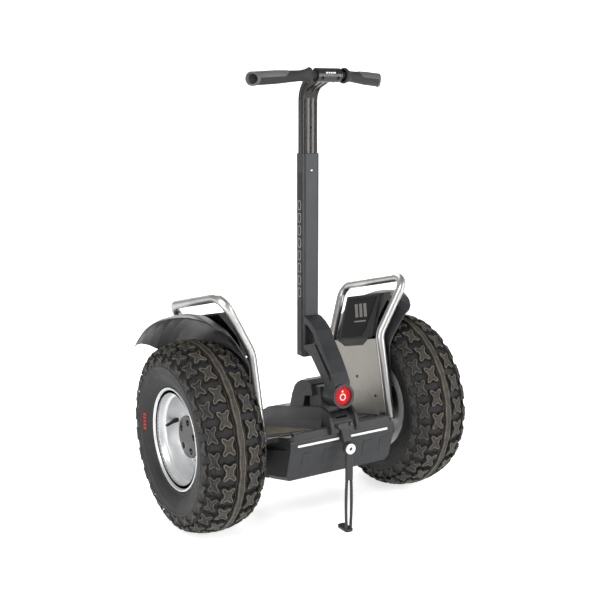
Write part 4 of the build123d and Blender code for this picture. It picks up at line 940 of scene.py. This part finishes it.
def addGripSkin(shape, way, starts, ends, lift, sink, turns, spread=None, lean=0.0):
    # a skin round the grip from starts(angle) to ends(angle), raised by lift and sink deep
    flip = Vector((way, 1, 1))
    elbow = Vector(grip["elbow"]) * flip
    along = (Vector(grip["end"]) * flip - elbow).normalized()
    front = (Vector((0, -1, 0)) - along * -along.y).normalized()
    up = along.cross(front)
    if up.z < 0:
        up = -up
    rows = grip["rows"]
    grid, under = [], []
    count = turns if spread is None else turns + 1
    for i in range(rows + 1):
        row, low = [], []
        for k in range(count):
            a = 2 * math.pi * k / turns
            if spread is not None:
                tight = min(1.0, 0.35 + i / 5)
                a = math.radians(lean + (2 * k / turns - 1) * spread * tight)
            s0, s1 = starts(a), ends(a)
            s = s0 + (s1 - s0) * i / rows
            ray = front * math.cos(a) + up * math.sin(a)
            edge = i in (0, rows) or (spread is not None and k in (0, turns))
            top = radiusAt(s) + lift - (grip["softEdge"] if edge else 0.0)
            row.append(shape.verts.new((elbow + along * s + ray * top) * mm))
            low.append(shape.verts.new((elbow + along * s + ray * (radiusAt(s) - sink)) * mm))
        grid.append(row)
        under.append(low)
    span = range(count) if spread is None else range(count - 1)
    for i in range(rows):
        for k in span:
            m = (k + 1) % count
            shape.faces.new((grid[i][k], grid[i][m], grid[i + 1][m], grid[i + 1][k]))
            shape.faces.new((under[i][k], under[i + 1][k], under[i + 1][m], under[i][m]))
        if spread is not None:
            shape.faces.new((grid[i][0], grid[i + 1][0], under[i + 1][0], under[i][0]))
            shape.faces.new((grid[i][-1], under[i][-1], under[i + 1][-1], grid[i + 1][-1]))
    for k in span:
        m = (k + 1) % count
        shape.faces.new((grid[0][k], under[0][k], under[0][m], grid[0][m]))
        shape.faces.new((grid[-1][k], grid[-1][m], under[-1][m], under[-1][k]))


def buildGrips():
    length = (Vector(grip["end"]) - Vector(grip["elbow"])).length

    def tip(a):
        # the end is cut at a slant that faces forwards
        return length - grip["endRoom"] - grip["slant"] * math.cos(a)
    sleeve, pads = bmesh.new(), bmesh.new()
    for way in (-1, 1):
        addGripSkin(sleeve, way, lambda a: grip["start"], tip, 0.0, grip["wall"], grip["turns"])
        addGripSkin(pads, way, lambda a: grip["from"], lambda a: tip(a) - grip["padShort"], grip["proud"],
                    grip["padWall"], grip["padTurns"], grip["spread"], grip["lean"])
        addGripSkin(pads, way, lambda a: tip(a) - grip["capLong"], lambda a: tip(a) + grip["capOver"],
                    grip["proud"], grip["capWall"], grip["turns"])
    made = makePiece("rubberGrips", sleeve, "gripRubber", "upper_frame", smooth=True)
    sharpen(made, 40)
    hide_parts("grips")
    sharpen(makePiece("gripPads", pads, "inlayRubber", "upper_frame", smooth=True), 40)


buildGrips()
print("grips built")

# floor, light and camera

studio = {"floor": 40.0, "floorShade": 0.86, "floorRoughness": 0.9, "floorGlow": 0.68, "wallAway": 30.0,
          "wallHalf": 22.0, "wallFoot": -1.0, "wallTop": 14.0, "wallShade": 0.5, "wallRoughness": 0.5,
          "wallGlow": 1.05, "sky": 0.42, "view": "Standard", "aim": (0.0, 0.0, 0.5),
          "lights": [("key", (-2.4, -2.6, 3.6), (1.6, 1.6), 130.0),
                     ("fill", (3.4, -2.0, 2.0), (1.4, 1.4), 40.0),
                     ("rim", (0.6, 3.2, 3.0), (2.0, 2.0), 90.0),
                     ("stripLeft", (-3.4, -1.1, 1.0), (0.5, 2.4), 60.0),
                     ("stripRight", (1.9, -3.2, 1.0), (0.4, 2.4), 45.0)]}
camera = {"place": (-1.4596, -2.3719, 1.1697), "forward": (0.5133, 0.8367, -0.1908), "lens": 59.6,
          "sensor": 36.0, "shiftY": -0.011}


def addPaper(name, corners, shade, roughness, glow):
    # one flat sheet of studio paper with a little glow of its own
    mesh = bpy.data.meshes.new(name)
    mesh.from_pydata([tuple(c) for c in corners], [], [(0, 1, 2, 3)])
    paper = bpy.data.materials.new(name)
    paper.use_nodes = True
    shader = paper.node_tree.nodes["Principled BSDF"]
    shader.inputs["Base Color"].default_value = (shade, shade, shade, 1)
    shader.inputs["Roughness"].default_value = roughness
    shader.inputs["Emission Color"].default_value = (1, 1, 1, 1)
    shader.inputs["Emission Strength"].default_value = glow
    mesh.materials.append(paper)
    sheet = bpy.data.objects.new(name, mesh)
    bpy.context.scene.collection.objects.link(sheet)


reach = studio["floor"]
addPaper("studioFloor", [(-reach, -reach, 0), (reach, -reach, 0), (reach, reach, 0), (-reach, reach, 0)],
         studio["floorShade"], studio["floorRoughness"], studio["floorGlow"])
# a bright wall far behind, square to the camera
ahead = Vector((camera["forward"][0], camera["forward"][1], 0)).normalized()
aside = Vector((-ahead.y, ahead.x, 0)) * studio["wallHalf"]
foot = ahead * studio["wallAway"] + Vector((0, 0, studio["wallFoot"]))
rise = Vector((0, 0, studio["wallTop"] - studio["wallFoot"]))
addPaper("backWall", [foot - aside, foot + aside, foot + aside + rise, foot - aside + rise],
         studio["wallShade"], studio["wallRoughness"], studio["wallGlow"])

bpy.context.scene.view_settings.view_transform = studio["view"]
sky = bpy.data.worlds.new("studio")
bpy.context.scene.world = sky
sky.use_nodes = True
sky.node_tree.nodes["Background"].inputs["Color"].default_value = (1, 1, 1, 1)
sky.node_tree.nodes["Background"].inputs["Strength"].default_value = studio["sky"]
for name, place, size, power in studio["lights"]:
    lamp = bpy.data.lights.new(name, "AREA")
    lamp.shape = "RECTANGLE"
    lamp.size, lamp.size_y = size
    lamp.energy = power
    made = bpy.data.objects.new(name, lamp)
    bpy.context.scene.collection.objects.link(made)
    made.location = place
    made.rotation_euler = (Vector(studio["aim"]) - Vector(place)).to_track_quat("-Z", "Y").to_euler()

lens = bpy.data.cameras.new("mainCamera")
lens.lens = camera["lens"]
lens.sensor_width = camera["sensor"]
lens.shift_y = camera["shiftY"]
viewer = bpy.data.objects.new("mainCamera", lens)
bpy.context.scene.collection.objects.link(viewer)
viewer.location = camera["place"]
viewer.rotation_euler = Vector(camera["forward"]).to_track_quat("-Z", "Y").to_euler()
bpy.context.scene.camera = viewer
